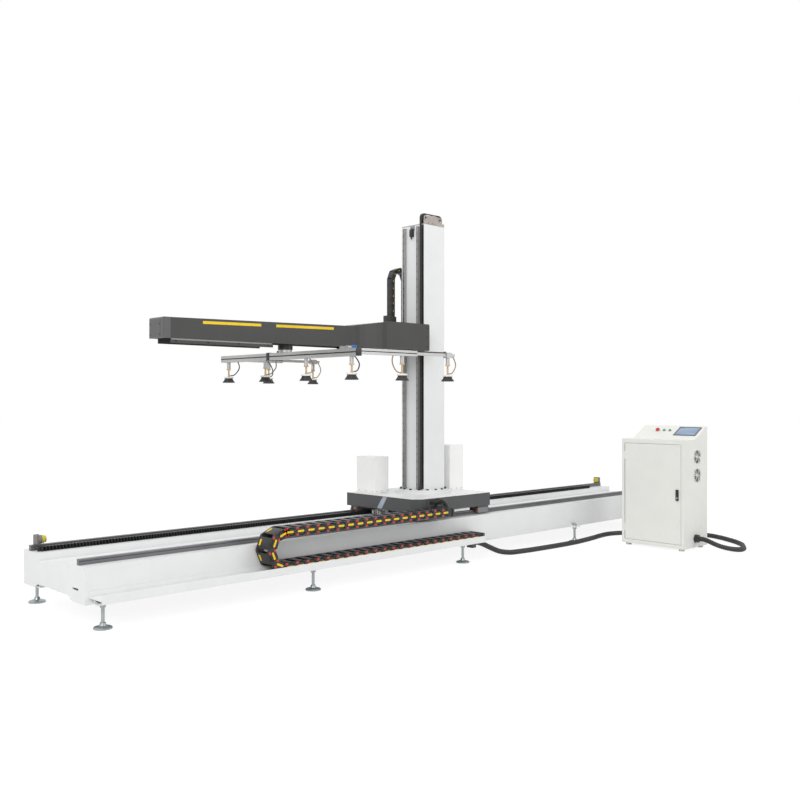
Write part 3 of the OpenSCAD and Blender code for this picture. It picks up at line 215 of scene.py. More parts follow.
class Piece:
    """Collects shapes in site metres into one mesh that rides on a body."""

    def __init__(self, name):
        self.name = name
        self.mesh = bmesh.new()
        self.finishes = []
        self.index = 0

    def use(self, finish):
        """Sets the finish of the shapes that follow."""
        if finish not in self.finishes:
            self.finishes.append(finish)
        self.index = self.finishes.index(finish)
        return self

    def take(self, part, place=None):
        """Moves a shape into the piece, through a placing matrix if given."""
        if place is not None:
            bmesh.ops.transform(part, matrix=place, verts=part.verts)
        for face in part.faces:
            face.material_index = self.index
        data = bpy.data.meshes.new("part")
        part.to_mesh(data)
        part.free()
        self.mesh.from_mesh(data)
        bpy.data.meshes.remove(data)
        return self

    def box(self, low, high, bevel=0.0, place=None):
        """Adds a box with bevelled edges."""
        low, high = Vector(low), Vector(high)
        part = bmesh.new()
        bmesh.ops.create_cube(part, size=1.0)
        size = high - low
        for v in part.verts:
            v.co = Vector((v.co.x * size.x, v.co.y * size.y, v.co.z * size.z)) + (low + high) / 2
        if bevel > 0.0:
            bmesh.ops.bevel(part, geom=part.edges[:], offset=bevel, segments=2, profile=0.5, affect="EDGES")
        return self.take(part, place)

    def prism(self, outline, depth, place=None, bevel=0.0):
        """Adds a plate: an outline in its own XY plane, extruded along its Z."""
        part = bmesh.new()
        ring = [part.verts.new((x, y, 0.0)) for x, y in outline]
        face = part.faces.new(ring)
        extruded = bmesh.ops.extrude_face_region(part, geom=[face])
        top = [v for v in extruded["geom"] if isinstance(v, bmesh.types.BMVert)]
        bmesh.ops.translate(part, verts=top, vec=(0.0, 0.0, depth))
        bmesh.ops.recalc_face_normals(part, faces=part.faces)
        if bevel > 0.0:
            bmesh.ops.bevel(part, geom=part.edges[:], offset=bevel, segments=1, affect="EDGES")
        return self.take(part, place)

    def lathe(self, profile, place=None, sides=SIDES):
        """Adds a turned shape from (radius, height) points about its own Z axis: a ring if they close."""
        part = bmesh.new()
        rings = []
        ring_shape = profile[0] == profile[-1]
        for r, z in profile[:-1] if ring_shape else profile:
            if r < 1e-6:
                rings.append([part.verts.new((0.0, 0.0, z))])
            else:
                turn = [2 * math.pi * k / sides for k in range(sides)]
                rings.append([part.verts.new((r * math.cos(a), r * math.sin(a), z)) for a in turn])
        if ring_shape:
            rings.append(rings[0])
        for lower, upper in zip(rings, rings[1:]):
            for k in range(sides):
                m = (k + 1) % sides
                if len(lower) == 1 and len(upper) == 1:
                    continue
                if len(lower) == 1:
                    part.faces.new((lower[0], upper[m], upper[k]))
                elif len(upper) == 1:
                    part.faces.new((lower[k], lower[m], upper[0]))
                else:
                    part.faces.new((lower[k], lower[m], upper[m], upper[k]))
        bmesh.ops.recalc_face_normals(part, faces=part.faces)
        return self.take(part, place)

    def rod(self, start, end, r, sides=SIDES, edge=0.0):
        """Adds a round rod between two points, with chamfered ends if asked."""
        start, end = Vector(start), Vector(end)
        span = (end - start).length
        profile = [(0, 0), (r - edge, 0), (r, edge), (r, span - edge), (r - edge, span), (0, span)]
        if edge <= 0.0:
            profile = [(0, 0), (r, 0), (r, span), (0, span)]
        return self.lathe(profile, aim(start, end - start), sides)

    def tube(self, points, radii, sides=12, loop=False):
        """Adds a tube along points or round a loop, with one radius for all or one for each."""
        part = bmesh.new()
        points = [Vector(p) for p in points]
        if not isinstance(radii, (list, tuple)):
            radii = [radii] * len(points)
        rings = []
        angles = [2 * math.pi * k / sides for k in range(sides)]
        for p, r, (side, lift) in zip(points, radii, line_frames(points, loop)):
            rings.append([part.verts.new(p + r * (math.cos(a) * side + math.sin(a) * lift)) for a in angles])
        if loop:
            rings.append(rings[0])
        for lower, upper in zip(rings, rings[1:]):
            for k in range(sides):
                m = (k + 1) % sides
                part.faces.new((lower[k], lower[m], upper[m], upper[k]))
        if not loop:
            part.faces.new(list(reversed(rings[0])))
            part.faces.new(rings[-1])
        return self.take(part)

    def build(self):
        """Makes the object, smooth but for its sharp edges, with no body yet."""
        data = bpy.data.meshes.new(self.name)
        self.mesh.to_mesh(data)
        self.mesh.free()
        data.transform(Matrix.Translation(SITE))
        for finish in self.finishes:
            data.materials.append(finish)
        for face in data.polygons:
            face.use_smooth = True
        data.set_sharp_from_angle(angle=SHARP_ANGLE)
        obj = bpy.data.objects.new(self.name, data)
        bpy.context.scene.collection.objects.link(obj)
        return obj

    def on(self, body, slot):
        """Makes the object and rides it on a body; the slot argument is not used."""
        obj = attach(self.build(), body)
        return obj


def aim(place, direction):
    """Returns the matrix that puts a shape's own Z axis along a direction at a place."""
    turn = Vector(direction).to_track_quat("Z", "Y").to_matrix().to_4x4()
    return Matrix.Translation(Vector(place)) @ turn


def smooth_line(points, steps):
    """Returns a smooth line through points, with a number of steps on each stretch."""
    points = [Vector(p) for p in points]
    line = []
    for i in range(len(points) - 1):
        p0 = points[max(i - 1, 0)]
        p1 = points[i]
        p2 = points[i + 1]
        p3 = points[min(i + 2, len(points) - 1)]
        for k in range(steps):
            t = k / steps
            line.append(0.5 * (2 * p1 + (p2 - p0) * t + (2 * p0 - 5 * p1 + 4 * p2 - p3) * t ** 2
                               + (3 * p1 - p0 - 3 * p2 + p3) * t ** 3))
    line.append(points[-1])
    return line


def even_line(points, step):
    """Returns points at an even spacing along a line, with both of its ends."""
    line = [points[0]]
    left = step
    for a, b in zip(points, points[1:]):
        span = (b - a).length
        at = left
        while at <= span:
            line.append(a.lerp(b, at / span))
            at += step
        left = at - span
    if (points[-1] - line[-1]).length > step * 0.3:
        line.append(points[-1])
    return line


def line_frames(points, loop=False):
    """Returns two directions square to a line at each of its points, turned as little as can be."""
    frames = []
    for i in range(len(points)):
        if loop:
            ahead = points[(i + 1) % len(points)] - points[i - 1]
        else:
            ahead = points[min(i + 1, len(points) - 1)] - points[max(i - 1, 0)]
        ahead = ahead.normalized()
        if frames:
            side = frames[-1][0]
            side = (side - ahead * side.dot(ahead)).normalized()
        else:
            side = ahead.to_track_quat("Z", "Y") @ Vector(RIGHT)
        frames.append((side, ahead.cross(side)))
    return frames


# Camera at the photograph's viewing angle, level at a standing eye height

LENS_MM = 40.78
SENSOR_MM = 36.0
EYE_HEIGHT = 1.5
CAMERA_HEADING = -43.71
camera_data = bpy.data.cameras.new("camera")
camera_data.lens = LENS_MM
camera_data.sensor_width = SENSOR_MM
camera_data.clip_end = 100.0
camera = bpy.data.objects.new("camera", camera_data)
camera.location = Vector((-2.5905, -6.1848, EYE_HEIGHT)) + SITE
camera.rotation_euler = (math.radians(90.0), 0.0, math.radians(CAMERA_HEADING))
bpy.context.scene.collection.objects.link(camera)
bpy.context.scene.camera = camera


# Conduit from the chain's anchor along the floor and round into the cabinet

CONDUIT_R = 0.025
GROOVE_R = CONDUIT_R * 0.87
CONDUIT_SIDES = 14
CONDUIT_STEPS = 24
RIB_STEP = 0.0045
LIE = CONDUIT_R + 0.001
GLAND_X = 5.832
CABINET_Y = -1.664
GLAND_Z = 0.112
conduit_route = [
    (3.746, -0.545, 0.168), (3.796, -0.545, 0.168), (3.870, -0.549, 0.146), (3.960, -0.557, 0.106),
    (4.090, -0.569, 0.054), (4.220, -0.587, LIE + 0.003), (4.340, -0.608, LIE), (4.510, -0.628, LIE),
    (4.800, -0.644, LIE), (5.060, -0.650, LIE), (5.300, -0.642, LIE), (5.590, -0.604, LIE),
    (5.800, -0.566, LIE), (5.960, -0.556, LIE), (6.110, -0.598, LIE), (6.260, -0.704, LIE),
    (6.420, -0.862, LIE), (6.560, -1.040, LIE), (6.645, -1.220, LIE), (6.660, -1.380, LIE),
    (6.602, -1.538, LIE), (6.535, -1.651, LIE), (6.439, -1.788, LIE),
    (6.318, -1.912, LIE), (6.228, -1.967, LIE), (6.132, -2.022, LIE), (6.084, -2.042, LIE),
    (6.032, -2.049, LIE), (5.980, -2.042, 0.029), (5.932, -2.022, 0.034), (5.891, -1.990, 0.042),
    (5.859, -1.949, 0.053), (5.839, -1.901, 0.067), (GLAND_X, -1.849, 0.084), (GLAND_X, -1.795, 0.102),
    (GLAND_X, -1.744, GLAND_Z), (GLAND_X, CABINET_Y - 0.036, GLAND_Z),
]
conduit_line = even_line(smooth_line(conduit_route, CONDUIT_STEPS), RIB_STEP)
for point in conduit_line:
    point.z = max(point.z, LIE)
rib_radii = [CONDUIT_R if i % 4 in (1, 2) else GROOVE_R for i in range(len(conduit_line))]
conduit_piece = Piece("conduit_hose").use(conduit_plastic)
conduit_piece.tube(conduit_line, rib_radii, CONDUIT_SIDES)
conduit_hose = conduit_piece.on("bed", "conduit_plastic")
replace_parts(conduit_hose, "conduit")


# Energy chains

LINK_TURN = 45.0
LEAF_GAP = 0.0002
MARK_T = 0.0012


def link_plate(piece, place, height, ends, round_end, faces):
    """Adds one leaf of a link's side: a plate between two ends and two faces, round at one end."""
    half = height / 2
    steps = [math.pi * (k / 8 - 0.5) for k in range(9)]
    if round_end > 0:
        bow = [(ends[1] + half * math.cos(a), half * math.sin(a)) for a in steps]
        outline = [(ends[0], half), (ends[0], -half)] + bow
    else:
        bow = [(ends[0] - half * math.cos(a), -half * math.sin(a)) for a in steps]
        outline = [(ends[1], -half), (ends[1], half)] + bow
    stand = Matrix.Translation((0.0, faces[1], 0.0)) @ Matrix.Rotation(math.radians(90), 4, "X")
    piece.prism(outline, faces[1] - faces[0], place @ stand, bevel=0.0008)


def link_marks(piece, place, pitch, height, width, marked):
    """Adds the coloured marks on both sides of a link: a dash and red squares, or a short dash."""
    for y, out in ((0.0, -1.0), (width, 1.0)):
        low, high = sorted((y, y + out * MARK_T))
        piece.use(yellow_plastic)
        if marked:
            dash = height * 0.12
            piece.box((pitch * 0.06, low, -dash), (pitch * 0.64, high, dash), 0.0, place)
            piece.use(red_plastic)
            spot = height * 0.11
            for z in (-height * 0.385, height * 0.385):
                piece.box((-pitch * 0.10, low, z - spot), (pitch * 0.12, high, z + spot), 0.0, place)
        else:
            piece.box((pitch * 0.20, low, -height * 0.08), (pitch * 0.38, high, height * 0.08), 0.0, place)


def chain_link(piece, place, pitch, height, width, marked, outside):
    """Adds one link: two sides of two leaves, a lower and an upper lid, and coloured marks."""
    leaf = width * 0.06
    centre = pitch * 0.5
    piece.use(black_plastic)
    for near, side in ((0.0, 1.0), (width, -1.0)):
        outer = sorted((near, near + side * (leaf - LEAF_GAP)))
        inner = sorted((near + side * (leaf + LEAF_GAP), near + side * 2 * leaf))
        link_plate(piece, place, height, (0.0, centre + height * 0.2), -1, outer)
        link_plate(piece, place, height, (centre - height * 0.2, pitch), 1, inner)
        middle = sorted((near + side * leaf * 0.5, near + side * leaf * 1.5))
        piece.box((centre - height * 0.18, middle[0], -height * 0.48),
                  (centre + height * 0.18, middle[1], height * 0.48), 0.0, place)
    lid = height * 0.14
    insets = (0.22, 0.22) if marked else (0.004, 0.15)
    if outside:
        insets = (0.05, 0.30)
    for z, inset in zip((-height / 2, height / 2 - lid), insets):
        piece.box((pitch * inset, 0.0, z), (pitch * (1.0 - inset), width, z + lid), 0.002, place)
    link_marks(piece, place, pitch, height, width, marked)
    if outside:
        piece.use(yellow_plastic)
        piece.box((pitch * 0.26, width * 0.76, -height / 2 - MARK_T),
                  (pitch * 0.74, width * 0.88, -height / 2), 0.0, place)


def chain_places(start, heading, count, pitch):
    """Returns the placing matrix of each link of a straight run, by its angle about -Y."""
    turn = Matrix.Rotation(-heading, 4, "Y")
    step = turn @ Vector((pitch, 0.0, 0.0))
    return [Matrix.Translation(Vector(start) + step * i) @ turn for i in range(count)]


def bend_places(centre, radius, first, count):
    """Returns the placing matrix of each link of a bend, from a first angle in degrees."""
    places = []
    for i in range(count):
        angle = math.radians(first + LINK_TURN * i)
        heading = angle + math.radians(90.0 + LINK_TURN / 2)
        spot = Vector(centre) + Vector((radius * math.cos(angle), 0.0, radius * math.sin(angle)))
        places.append(Matrix.Translation(spot) @ Matrix.Rotation(-heading, 4, "Y"))
    return places


def chain_piece(name, places, pitch, height, width, marked, outside=False):
    """Makes one chain piece of all the links at the places."""
    piece = Piece(name)
    for place in places:
        chain_link(piece, place, pitch, height, width, marked, outside)
    return piece


TRAVEL_PITCH = 0.100
TRAVEL_H = 0.064
TRAVEL_W = 0.170
TRAVEL_Y = -0.687
LOWER_LINKS = 22
UPPER_LINKS = 18
TRAVEL_BEND_X = 1.490
TRAVEL_R = TRAVEL_PITCH / (2 * math.sin(math.radians(LINK_TURN / 2)))
TRAVEL_Z = 0.2444
TRAVEL_TOP_Z = TRAVEL_Z + 2 * TRAVEL_R
travel_size = (TRAVEL_PITCH, TRAVEL_H, TRAVEL_W, True)

lower_run = chain_piece("travel_chain_lower_run", chain_places((TRAVEL_BEND_X, TRAVEL_Y, TRAVEL_Z), 0.0,
                        LOWER_LINKS, TRAVEL_PITCH), *travel_size).build()
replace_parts(lower_run, "travel_chain_lower")
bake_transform(lower_run)
upper_run = chain_piece("travel_chain_upper_run", chain_places((TRAVEL_BEND_X, TRAVEL_Y, TRAVEL_TOP_Z), 0.0,
                        UPPER_LINKS, TRAVEL_PITCH), *travel_size).build()
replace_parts(upper_run, "travel_chain_upper")
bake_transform(upper_run)
travel_centre = (TRAVEL_BEND_X, TRAVEL_Y, TRAVEL_Z + TRAVEL_R)
for half, first in (("lower", 180.0), ("upper", 90.0)):
    bend = chain_piece("travel_chain_bend_" + half + "_links", bend_places(travel_centre, TRAVEL_R, first, 2),
                       *travel_size, outside=True).on("travel_bend_" + half, "chain_plastic")
    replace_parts(bend, "travel_chain_bend_" + half)

LIFT_PITCH = 0.072
LIFT_H = 0.042
LIFT_W = 0.070
LIFT_Y = 0.156
LIFT_R = LIFT_PITCH / (2 * math.sin(math.radians(LINK_TURN / 2)))
LIFT_OUTER_X = 3.384
LIFT_INNER_X = LIFT_OUTER_X + 2 * LIFT_R
OUTER_LINKS = 6
INNER_LINKS = 8
HEAD_TOP = 2.200
FOOT_RISE = 0.0334
LIFT_BEND_Z = HEAD_TOP + FOOT_RISE + OUTER_LINKS * LIFT_PITCH
lift_size = (LIFT_PITCH, LIFT_H, LIFT_W, False)
inner_foot = (LIFT_INNER_X, LIFT_Y, LIFT_BEND_Z - INNER_LINKS * LIFT_PITCH)
inner_places = chain_places(inner_foot, math.radians(90), INNER_LINKS, LIFT_PITCH)
inner_run = chain_piece("lift_chain_inner_run", inner_places, *lift_size).build()
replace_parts(inner_run, "lift_chain_inner")
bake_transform(inner_run)
outer_top = (LIFT_OUTER_X, LIFT_Y, LIFT_BEND_Z)
outer_places = chain_places(outer_top, math.radians(-90), OUTER_LINKS, LIFT_PITCH)
outer_run = chain_piece("lift_chain_outer_run", outer_places, *lift_size).build()
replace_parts(outer_run, "lift_chain_outer")
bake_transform(outer_run)
lift_centre = (LIFT_OUTER_X + LIFT_R, LIFT_Y, LIFT_BEND_Z)
for half, first in (("inner", 0.0), ("outer", 90.0)):
    bend = chain_piece("lift_chain_bend_" + half + "_links", bend_places(lift_centre, LIFT_R, first, 2),
                       *lift_size).on("lift_bend_" + half, "chain_plastic")
    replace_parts(bend, "lift_chain_bend_" + half)


# Vacuum cups with a white cap plate and a brass stem

GRIPPER_X = 1.985
SPINE_TOP = 1.900
SPINE_Z = 1.840
BAR_Y = 0.9175
BAR_Z = 1.855
CUP_Z = 1.657
CUP_R = 0.0549
CUP_SIDES = 32
ELBOW_Z = CUP_Z + 0.064
CUP_GAP = 0.032
STEM_R = 0.008
CUP_PROFILE = [
    (0.0, 0.008), (0.041, 0.004), (0.052, 0.0), (CUP_R, 0.0), (CUP_R, 0.004), (0.0515, 0.009),
    (0.046, 0.016), (0.043, 0.020), (0.042, 0.024), (0.039, 0.026), (0.038, 0.031), (0.036, 0.034),
    (0.035, 0.0405), (0.0, 0.0405),
]
CAP_PROFILE = [(0.0, 0.040), (0.041, 0.040), (0.043, 0.042), (0.043, 0.051), (0.040, 0.054), (0.0, 0.054)]
STEM_FOOT = [(0.0, 0.0535), (0.013, 0.0535), (0.013, 0.060), (STEM_R, 0.060)]
BAR_MIDDLE_CUPS = (5, 7)
BAR_END_CUPS = (6, 8)
cup_places = [
    (GRIPPER_X, 0.858, SPINE_Z), (GRIPPER_X, 0.286, SPINE_Z), (GRIPPER_X, -0.286, SPINE_Z),
    (GRIPPER_X, -0.858, SPINE_Z), (GRIPPER_X + 0.484, -BAR_Y, BAR_Z), (GRIPPER_X + 1.018, -BAR_Y, BAR_Z),
    (GRIPPER_X + 0.484, BAR_Y, BAR_Z), (GRIPPER_X + 1.018, BAR_Y, BAR_Z),
]


def hose_sides(number, y):
    """Returns the direction a cup's hose leaves its stem, and the one it runs along its bar."""
    inward = Vector((0.0, 1.0 if y < 0 else -1.0, 0.0))
    if number in BAR_END_CUPS:
        return Vector(RIGHT), Vector((0.0, 0.0, 0.0))
    if number in BAR_MIDDLE_CUPS:
        return inward, Vector(LEFT)
    return Vector(RIGHT), inward


for number, (x, y, top) in enumerate(cup_places, 1):
    cup = Piece("cup_%d_detail" % number)
    base = Matrix.Translation((x, y, CUP_Z))
    stem_top = top - CUP_GAP - CUP_Z
    cup.use(black_rubber).lathe(CUP_PROFILE, base, CUP_SIDES)
    cup.use(white_plastic).lathe(CAP_PROFILE, base, CUP_SIDES)
    cup.use(brass).lathe(STEM_FOOT + [(STEM_R, stem_top), (0.0, stem_top)], base, 16)
    side = hose_sides(number, y)[0]
    elbow = Vector((x, y, ELBOW_Z))
    cup.rod(elbow + side * 0.004, elbow + side * 0.020, 0.0062, 12, 0.001)
    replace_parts(cup.on("cup_%d" % number, "black_rubber"), "cup_%d" % number)


# Small shapes shared by the details

HOSE_STEPS = 8
HOSE_SIDES = 10
STRANDS = 3
STRAND_OFFSET = 1.18


def bolt(piece, place, direction, r, h):
    """Adds a hexagon head with a round washer, standing on a face."""
    seat = aim(place, direction)
    piece.lathe([(0.0, 0.0), (r * 1.25, 0.0), (r * 1.25, h * 0.2), (0.0, h * 0.2)], seat, 16)
    piece.lathe([(0.0, h * 0.2), (r, h * 0.2), (r, h * 0.85), (r * 0.85, h), (0.0, h)], seat, 6)


def screw(piece, place, direction, r):
    """Adds a low round screw head, standing on a face."""
    piece.lathe([(0.0, 0.0), (r, 0.0), (r * 0.95, r * 0.3), (r * 0.6, r * 0.5), (0.0, r * 0.55)],
                aim(place, direction), 12)


def hose(piece, points, r):
    """Adds a smooth hose through points."""
    piece.tube(smooth_line(points, HOSE_STEPS), r, HOSE_SIDES)


def cables(piece, points, r):
    """Adds three cables that lie against each other along a smooth line through points."""
    line = smooth_line(points, HOSE_STEPS)
    frames = line_frames(line)
    for number in range(STRANDS):
        angle = 2 * math.pi * number / STRANDS
        off_x = STRAND_OFFSET * r * math.cos(angle)
        off_y = STRAND_OFFSET * r * math.sin(angle)
        strand = [p + off_x * side + off_y * lift for p, (side, lift) in zip(line, frames)]
        piece.tube(strand, r, HOSE_SIDES)


# Cup hoses: each route point is out from the stem, along the bar, and up in shares of the hose's drop

NUT_PROFILE = [(0.0172, 0.0), (0.0215, 0.0), (0.0215, 0.012), (0.0172, 0.012), (0.0172, 0.0)]
NUT_DROP = 0.070
ROOT_RISE = 0.022
ROOT_SHIFT = 0.045
STUB_L = 0.014
STUB_R = 0.0075
FOOT_OUT = 0.018
CUP_HOSE_R = 0.0050
UPPER_ROUTE = ((0.010, 0.0, 0.0), (0.034, 0.0, -0.10), (0.058, -0.010, -0.32), (0.066, -0.024, -0.56))
LOWER_ROUTE = ((0.060, 0.008, 0.20), (0.034, 0.002, 0.04), (0.0, 0.0, 0.0))

fittings = Piece("gripper_fittings")
for number, (x, y, top) in enumerate(cup_places, 1):
    side, along = hose_sides(number, y)
    half = 0.030
    if number in BAR_MIDDLE_CUPS:
        half = 0.0225
    elif number in BAR_END_CUPS:
        half = 0.032
    fittings.use(brass)
    fittings.lathe(NUT_PROFILE, Matrix.Translation((x, y, top - NUT_DROP)), 6)
    root = Vector((x, y, top + ROOT_RISE)) + side * half + along * ROOT_SHIFT
    fittings.use(black_plastic)
    fittings.rod(root, root + side * STUB_L, STUB_R, 12, 0.001)
    foot = Vector((x, y, ELBOW_Z)) + side * FOOT_OUT
    drop = Vector((0.0, 0.0, root.z - foot.z))
    route = [root + side * out + along * shift + drop * rise for out, shift, rise in UPPER_ROUTE]
    route += [foot + side * out + along * shift + drop * rise for out, shift, rise in LOWER_ROUTE]
    loop = Piece("cup_%d_hose" % number).use(black_plastic if number % 3 == 1 else tan_hose)
    hose(loop, route, CUP_HOSE_R)
    loop = loop.build()
    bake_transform(loop)


# Gripper supply hose, end plugs, clamp, slot covers, knobs, corner gussets and screws

SPINE_MID = (SPINE_Z + SPINE_TOP) / 2
BAR_MID = (BAR_Z + SPINE_TOP) / 2
SPINE_END = 0.940
BAR_END = GRIPPER_X + 1.090
KNOB_Y = -0.886
SUPPLY_R = 0.0055
supply_route = [
    (0.024, KNOB_Y, 0.012), (0.080, -0.884, 0.014), (0.220, -0.892, 0.007), (0.420, -0.900, 0.007),
    (0.540, -0.908, 0.014), (0.620, -BAR_Y, 0.009), (0.680, -BAR_Y, -0.002), (0.940, -BAR_Y, -0.003),
    (0.990, -BAR_Y, 0.006),
]
supply = Piece("gripper_supply_hose").use(black_plastic)
hose(supply, [(GRIPPER_X + x, y, SPINE_TOP + z) for x, y, z in supply_route], SUPPLY_R)
supply.on("gripper", "black_rubber")
fittings.use(black_plastic)
for out in BOTH:
    fittings.box((GRIPPER_X - 0.0295, out * SPINE_END - 0.0015, SPINE_Z + 0.0005),
                 (GRIPPER_X + 0.0295, out * SPINE_END + 0.0015, SPINE_TOP - 0.0005), 0.001)
    fittings.box((BAR_END - 0.0005, out * BAR_Y - 0.0125, BAR_Z + 0.010),
                 (BAR_END + 0.0005, out * BAR_Y + 0.0125, SPINE_TOP - 0.010), 0.0)
fittings.box((GRIPPER_X - 0.034, 0.190, SPINE_Z - 0.003),
             (GRIPPER_X + 0.034, 0.230, SPINE_TOP + 0.005), 0.003)
for out in BOTH:
    faces = sorted((GRIPPER_X + out * 0.0203, GRIPPER_X + out * 0.0292))
    fittings.box((faces[0], -0.938, SPINE_MID - 0.0050), (faces[1], 0.938, SPINE_MID + 0.0050), 0.0006)
    for way in BOTH:
        faces = sorted((out * BAR_Y + way * 0.0152, out * BAR_Y + way * 0.0218))
        fittings.box((GRIPPER_X + 0.032, faces[0], BAR_MID - 0.0037),
                     (GRIPPER_X + 0.634, faces[1], BAR_MID + 0.0037), 0.0005)
fittings.use(red_plastic)
fittings.rod((GRIPPER_X, 0.104, SPINE_TOP + 0.0002), (GRIPPER_X, 0.104, SPINE_TOP + 0.018), 0.010, 16, 0.002)
fittings.use(blue_plastic)
for x in (GRIPPER_X - 0.012, GRIPPER_X + 0.012):
    fittings.rod((x, KNOB_Y, SPINE_TOP), (x, KNOB_Y, SPINE_TOP + 0.022), 0.011, 16, 0.002)
fittings.use(bright_steel)
for out in BOTH:
    corner = Vector((GRIPPER_X + 0.030, out * 0.8945, SPINE_Z + 0.020))
    fittings.prism([(0.0, 0.0), (0.055, 0.0), (0.012, 0.050 * -out), (0.0, 0.055 * -out)], 0.030,
                   Matrix.Translation(corner), 0.0015)
    for x, r in ((0.300, 0.006), (0.580, 0.006), (0.996, 0.005), (1.040, 0.005)):
        screw(fittings, (GRIPPER_X + x, out * BAR_Y, SPINE_TOP), UP, r)
VALVE_Y = -0.790
VALVE_TOP = SPINE_TOP + 0.020
for y in (-0.0315, 0.0315):
    for x in (-0.020, 0.020):
        screw(fittings, (GRIPPER_X + x, VALVE_Y + y, VALVE_TOP), UP, 0.0035)
fittings.on("gripper", "profile_aluminium")


# Arm stripes, seams, foot of the lift chain, pale lips and screws

ARM_X = 0.855
ARM_EDGE_Z = 2.122
ARM_SLOPE = 0.032 / 1.774
ARM_Y = 0.100
ARM_END_X = 0.775
HEAD_X = 3.385
HEAD_Y = 0.300
STRIPE_T = 0.0008
STRIPE_LOW = 0.041
STRIPE_HIGH = 0.019
SEAM_X = (0.8535, 0.8560)
SEAM_T = 0.0004
arm_trim = Piece("arm_trim")


def arm_top(x):
    """Returns the height of the arm cover's upper edge."""
    return ARM_EDGE_Z + ARM_SLOPE * (x - ARM_X)


arm_trim.use(yellow_plastic)
for x0, x1 in ((1.130, 1.670), (1.820, 2.430)):
    for y in (-ARM_Y, ARM_Y + STRIPE_T):
        band = [(x0, arm_top(x0) - STRIPE_LOW), (x1, arm_top(x1) - STRIPE_LOW),
                (x1, arm_top(x1) - STRIPE_HIGH), (x0, arm_top(x0) - STRIPE_HIGH)]
        stand = Matrix.Translation((0.0, y, 0.0)) @ Matrix.Rotation(math.pi / 2, 4, "X")
        arm_trim.prism(band, STRIPE_T, stand)
arm_trim.use(black_plastic)
for y in (-ARM_Y - SEAM_T, ARM_Y):
    arm_trim.box((SEAM_X[0], y, 1.966), (SEAM_X[1], y + SEAM_T, 2.120))
arm_trim.box((SEAM_X[0], -0.0995, 2.1218), (SEAM_X[1], 0.0995, 2.1224))
arm_trim.box((3.3300, 0.1390, HEAD_TOP), (3.3560, 0.2430, 2.3120), 0.003)
for y in (0.1390, 0.2290):
    arm_trim.box((3.3555, y, HEAD_TOP), (3.4075, y + 0.0140, 2.3000), 0.002)
arm_trim.use(lip_grey)
for out in BOTH:
    faces = sorted((out * 0.0978, out * 0.0986))
    arm_trim.box((0.860, faces[0], 1.9530), (1.775, faces[1], 1.9640), 0.0002)
arm_trim.use(dark_steel)
for x in (0.900, 1.180, 1.460, 1.740):
    for out in BOTH:
        screw(arm_trim, (x, out * 0.098, 1.946), (0.0, out, 0.0), 0.007)
for z in (1.990, 2.080, 2.165):
    for out in BOTH:
        screw(arm_trim, (HEAD_X, out * HEAD_Y, z), (0.0, out, 0.0), 0.007)
for y in (-0.070, 0.070):
    for z in (1.990, 2.070):
        screw(arm_trim, (ARM_END_X, y, z), LEFT, 0.006)
arm_trim.on("lift", "dark_paint")


# Column strip of painted shade, painted reflections on the rail sides, rail holes, flange bolts, and the
# switch and bolts at the pulleys

COLUMN_X = 3.630
COLUMN_FACE = 3.4899
LIFT_RAIL_Y = 0.092
LIFT_RAIL_FACE = 3.456
RAIL_HOLES = 34
HOLE_PITCH = 0.072
HOLE_PROFILE = [(0.0, 0.00008), (0.0065, 0.00008), (0.0065, -0.0005), (0.0, -0.0005)]
FLANGE_BOLTS = 16
FLANGE_BOLT_R = 0.216
FLANGE_TOP = 0.6474
FLANGE_BOLT_PROFILE = [
    (0.0, 0.0), (0.0125, 0.0), (0.0125, 0.0085), (0.0110, 0.0102), (0.0060, 0.0102), (0.0055, 0.0092),
    (0.0, 0.0092),
]
SWITCH_X = 3.470
CHEEK_Y = -0.1490
WASHER_PROFILE = [(0.0105, 0.0), (0.022, 0.0), (0.022, 0.003), (0.0105, 0.003), (0.0105, 0.0)]

column_trim = Piece("column_trim")
# A black strip along the column's face where the lift belt runs: it widens the belt with painted shade beside
# it.
column_trim.use(black_rubber)
column_trim.box((3.4885, -0.1495, 0.660), (COLUMN_FACE, -0.1215, 3.160), 0.0003)
# Thin bright strips on both sides of each lift rail: painted reflections.
column_trim.use(bright_steel)
for out in BOTH:
    for way in BOTH:
        low, high = sorted((out * LIFT_RAIL_Y + way * 0.0139, out * LIFT_RAIL_Y + way * 0.0143))
        column_trim.box((3.4762, low, 0.662), (3.4892, high, 3.136), 0.0001)
column_trim.use(dark_steel)
for out in BOTH:
    for step in range(RAIL_HOLES):
        seat = aim((LIFT_RAIL_FACE, out * LIFT_RAIL_Y, 0.700 + HOLE_PITCH * step), LEFT)
        column_trim.lathe(HOLE_PROFILE, seat, 12)
column_trim.use(black_alloy)
for number in range(FLANGE_BOLTS):
    angle = math.radians((number + 0.5) * 360.0 / FLANGE_BOLTS)
    spot = (COLUMN_X + FLANGE_BOLT_R * math.cos(angle), FLANGE_BOLT_R * math.sin(angle), FLANGE_TOP)
    column_trim.lathe(FLANGE_BOLT_PROFILE, Matrix.Translation(spot), 18)
column_trim.use(black_plastic)
column_trim.box((3.4620, -0.020, 3.060), (3.4895, 0.020, 3.130), 0.003)
column_trim.rod((SWITCH_X, 0.0, 3.061), (SWITCH_X, 0.0, 3.036), 0.007, 14, 0.002)
column_trim.use(blue_plastic)
column_trim.rod((SWITCH_X, 0.0, 3.129), (SWITCH_X, 0.0, 3.150), 0.009, 14, 0.003)
column_trim.use(bracket_metal)
column_trim.box((3.4875, -0.030, 3.120), (COLUMN_FACE, 0.030, 3.163), 0.0008)
for x in (3.512, 3.708):
    column_trim.lathe(WASHER_PROFILE, aim((x, CHEEK_Y, 3.227), FRONT), 24)
for x in (3.560, 3.610, 3.660):
    bolt(column_trim, (x, CHEEK_Y, 3.182), FRONT, 0.0065, 0.006)
for x in (3.510, 3.600, 3.690):
    bolt(column_trim, (x, 0.060, 3.173), UP, 0.0075, 0.007)
